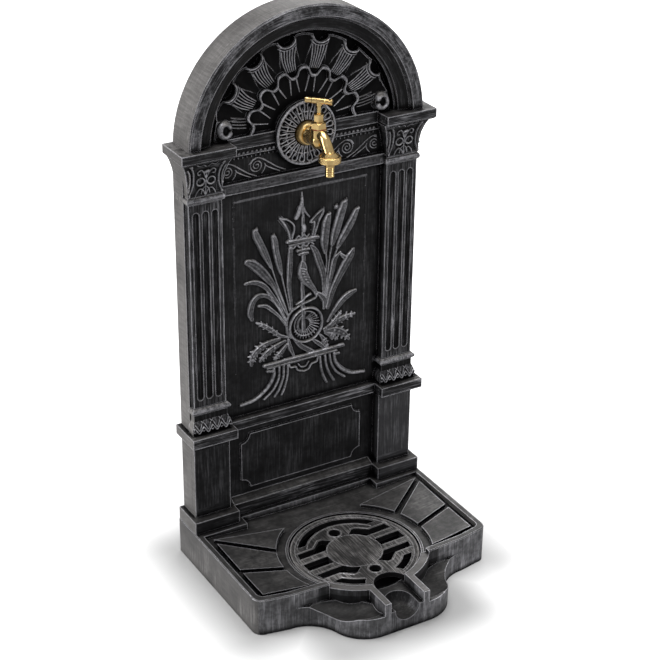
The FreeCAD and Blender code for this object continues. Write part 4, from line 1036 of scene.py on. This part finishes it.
def grate_lines():
    sheet = Carving(-99, 99, -99, 99, 0.7)
    half, inner, outer, knee, limit = 9.0, 23.0, 36.0, 50.0, 49.6
    margin, width, rise = 2.4, 0.9, 0.55
    reach = 86.5 + margin
    inside, outside, corner = half + margin, outer + margin, limit + margin
    slots = [
        ([(46, inside), (reach - 1.5, inside)], 0.95),
        ([(40, inner - margin), (reach - 5, inner - margin)], 0.95),
        ([(81.5, outside), (knee + 1, outside), (34.5, corner), (26, corner)], 0.95),
        (arc_path(0, 0, reach, -9, 9, 5), 0.6),
    ]
    for side in (-1, 1):
        for flip in (-1, 1):
            for points, silver in slots:
                sheet.bar([(side * u, flip * v) for u, v in points], width, rise, silver)
    sheet.bar(arc_path(0, 0, 42, count=41), 0.6, 0.35, 0.4)
    for radius, wide, silver in ((96.6, 1.3, 1.0), (reach + 1.6, 0.7, 0.6)):
        sheet.bar(arc_path(0, 0, radius, -70, 250, 61), wide, 0.5, silver)
    for low, high in ((36, 144), (-140, -112), (-68, -40)):
        sheet.bar(arc_path(0, 0, 72.2, low, high, 15), width, rise, 0.9)
    for side in (-1, 1):
        sheet.bar(arc_path(0, side * 55.3, 11.2), 0.8, 0.5, 0.9)
    turn, lean = cos(GRATE_TURN), sin(GRATE_TURN)
    plane = ((0, GRATE_Y, 0), (turn, lean, 0), (-lean, turn, 0), (0, 0, 1))
    sheet.piece("grate_lines", "grate", plane, sink=0.15, limit=(40, 60), body="grate", material=CAST_GRATE,
                steep=0.6)


panel_relief()
shell_flutes()
shell_ribbon()
shell_tongues()
rosette_petals()
frieze()
for piece in (capital_leaves, cushion_weave):
    piece(-1, "left")
    piece(1, "right")
grate_lines()


# Camera, floor and light

CAMERA_SPOT = (-1130.9, -2030.9, 1525.4)
CAMERA_AIM = (0.45191, 0.766874, -0.45572)
CAMERA_ROLL = 0.0108
CAMERA_LENS = 93.63
FLOOR_HALF = 9.0
FLOOR_DROP = 0.5 * MM
TRAY_BLOCKS = ((0.200, 0.250), (0.105, 0.342))
FLOOR_GLOW = 0.72
SKY = 0.40


def make_camera():
    """The photo's camera: its place in millimetres, its direction, its roll in radians and its lens."""
    forward = Vector(CAMERA_AIM).normalized()
    level = forward.cross(Vector((0, 0, 1))).normalized()
    steep = level.cross(forward)
    right = level * cos(CAMERA_ROLL) + steep * sin(CAMERA_ROLL)
    up = steep * cos(CAMERA_ROLL) - level * sin(CAMERA_ROLL)
    data = bpy.data.cameras.new("camera")
    data.lens = CAMERA_LENS
    camera = bpy.data.objects.new("camera", data)
    turn = Matrix((right, up, -forward)).transposed()
    camera.matrix_world = Matrix.Translation(place(*CAMERA_SPOT)) @ turn.to_4x4()
    stand(camera)
    scene.camera = camera


def gap_to_tray(t, x, y):
    """The distance on the floor to the nearer of the tray's blocks (half width, depth from the wall)."""
    gaps = []
    for half, depth in TRAY_BLOCKS:
        off = t.minus(t.size(x), half)
        beyond = t.minus(t.size(t.minus(y, WALL_Y - depth / 2)), depth / 2)
        gaps.append(t.reach(t.most(off, 0.0), t.most(beyond, 0.0)))
    return t.math("MINIMUM", *gaps)


def make_floor():
    """White paper whose glow fades towards the tray, so that only a soft shadow is seen round it."""
    mesh = bpy.data.meshes.new("floor")
    corners = [(x * FLOOR_HALF, y * FLOOR_HALF, -FLOOR_DROP) for x, y in ((-1, -1), (1, -1), (1, 1), (-1, 1))]
    mesh.from_pydata(corners, [], [(0, 1, 2, 3)])
    floor = bpy.data.objects.new("floor", mesh)
    stand(floor)
    t = Tree("floor_paper")
    t.set("Base Color", t.mix(t.noise(3.0), PAPER_DARK, PAPER_LIGHT))
    t.set("Roughness", 0.9)
    t.set("Specular IOR Level", 0.1)
    x, y = t.axes()[:2]
    gap = gap_to_tray(t, x, y)
    # Painted light: the glow also lightens the shadow on the tray's right
    far = t.plus(t.span(gap, 0.0, 0.105), t.span(x, 0.05, 0.20, 0.0, 0.34), t.span(gap, 0.12, 0.50, 0.0, 0.5))
    seen = t.times(t.add("LightPath").outputs["Is Camera Ray"], far)
    glow = t.add("Emission", {"Color": seen, "Strength": FLOOR_GLOW}).outputs[0]
    both = t.add("AddShader", {0: t.shader.outputs[0], 1: glow}).outputs[0]
    t.link(both, t.out.inputs["Surface"])
    mesh.materials.append(t.material)


def make_world():
    """A dim even sky for the light, and plain white for what the camera sees."""
    world = bpy.data.worlds.new("studio")
    scene.world = world
    world.use_nodes = True
    tree = world.node_tree
    tree.nodes.clear()
    out = tree.nodes.new("ShaderNodeOutputWorld")
    path = tree.nodes.new("ShaderNodeLightPath")
    mix = tree.nodes.new("ShaderNodeMixShader")
    tree.links.new(path.outputs["Is Camera Ray"], mix.inputs[0])
    for slot, strength in ((1, SKY), (2, 1.0)):
        background = tree.nodes.new("ShaderNodeBackground")
        background.inputs["Color"].default_value = WHITE
        background.inputs["Strength"].default_value = strength
        tree.links.new(background.outputs[0], mix.inputs[slot])
    tree.links.new(mix.outputs[0], out.inputs["Surface"])


def softbox(name, spot, aim, wide, high, power):
    data = bpy.data.lights.new(name, "AREA")
    data.shape = "RECTANGLE"
    data.size, data.size_y = wide, high
    data.energy = power
    light = bpy.data.objects.new(name, data)
    light.location = spot
    light.rotation_euler = (Vector(aim) - Vector(spot)).to_track_quat("-Z", "Y").to_euler()
    stand(light)


make_camera()
make_floor()
make_world()
softbox("left_box", (-2.2, 0.9, 1.3), (0, 0.1, 0.5), 1.6, 2.0, 60)
softbox("top_box", (0.1, 0.2, 2.9), (0, 0, 0.4), 1.8, 1.8, 45)
softbox("front_box", (-0.8, -2.4, 2.2), (0, 0, 0.5), 0.7, 0.7, 20)
softbox("back_box", (1.8, 2.6, 1.95), (0.1, -0.1, 0.05), 1.6, 1.2, 20)
softbox("right_box", (2.0, -2.0, 1.3), (0.15, 0, 0.3), 1.2, 1.2, 12)

scene.view_settings.view_transform = "Standard"
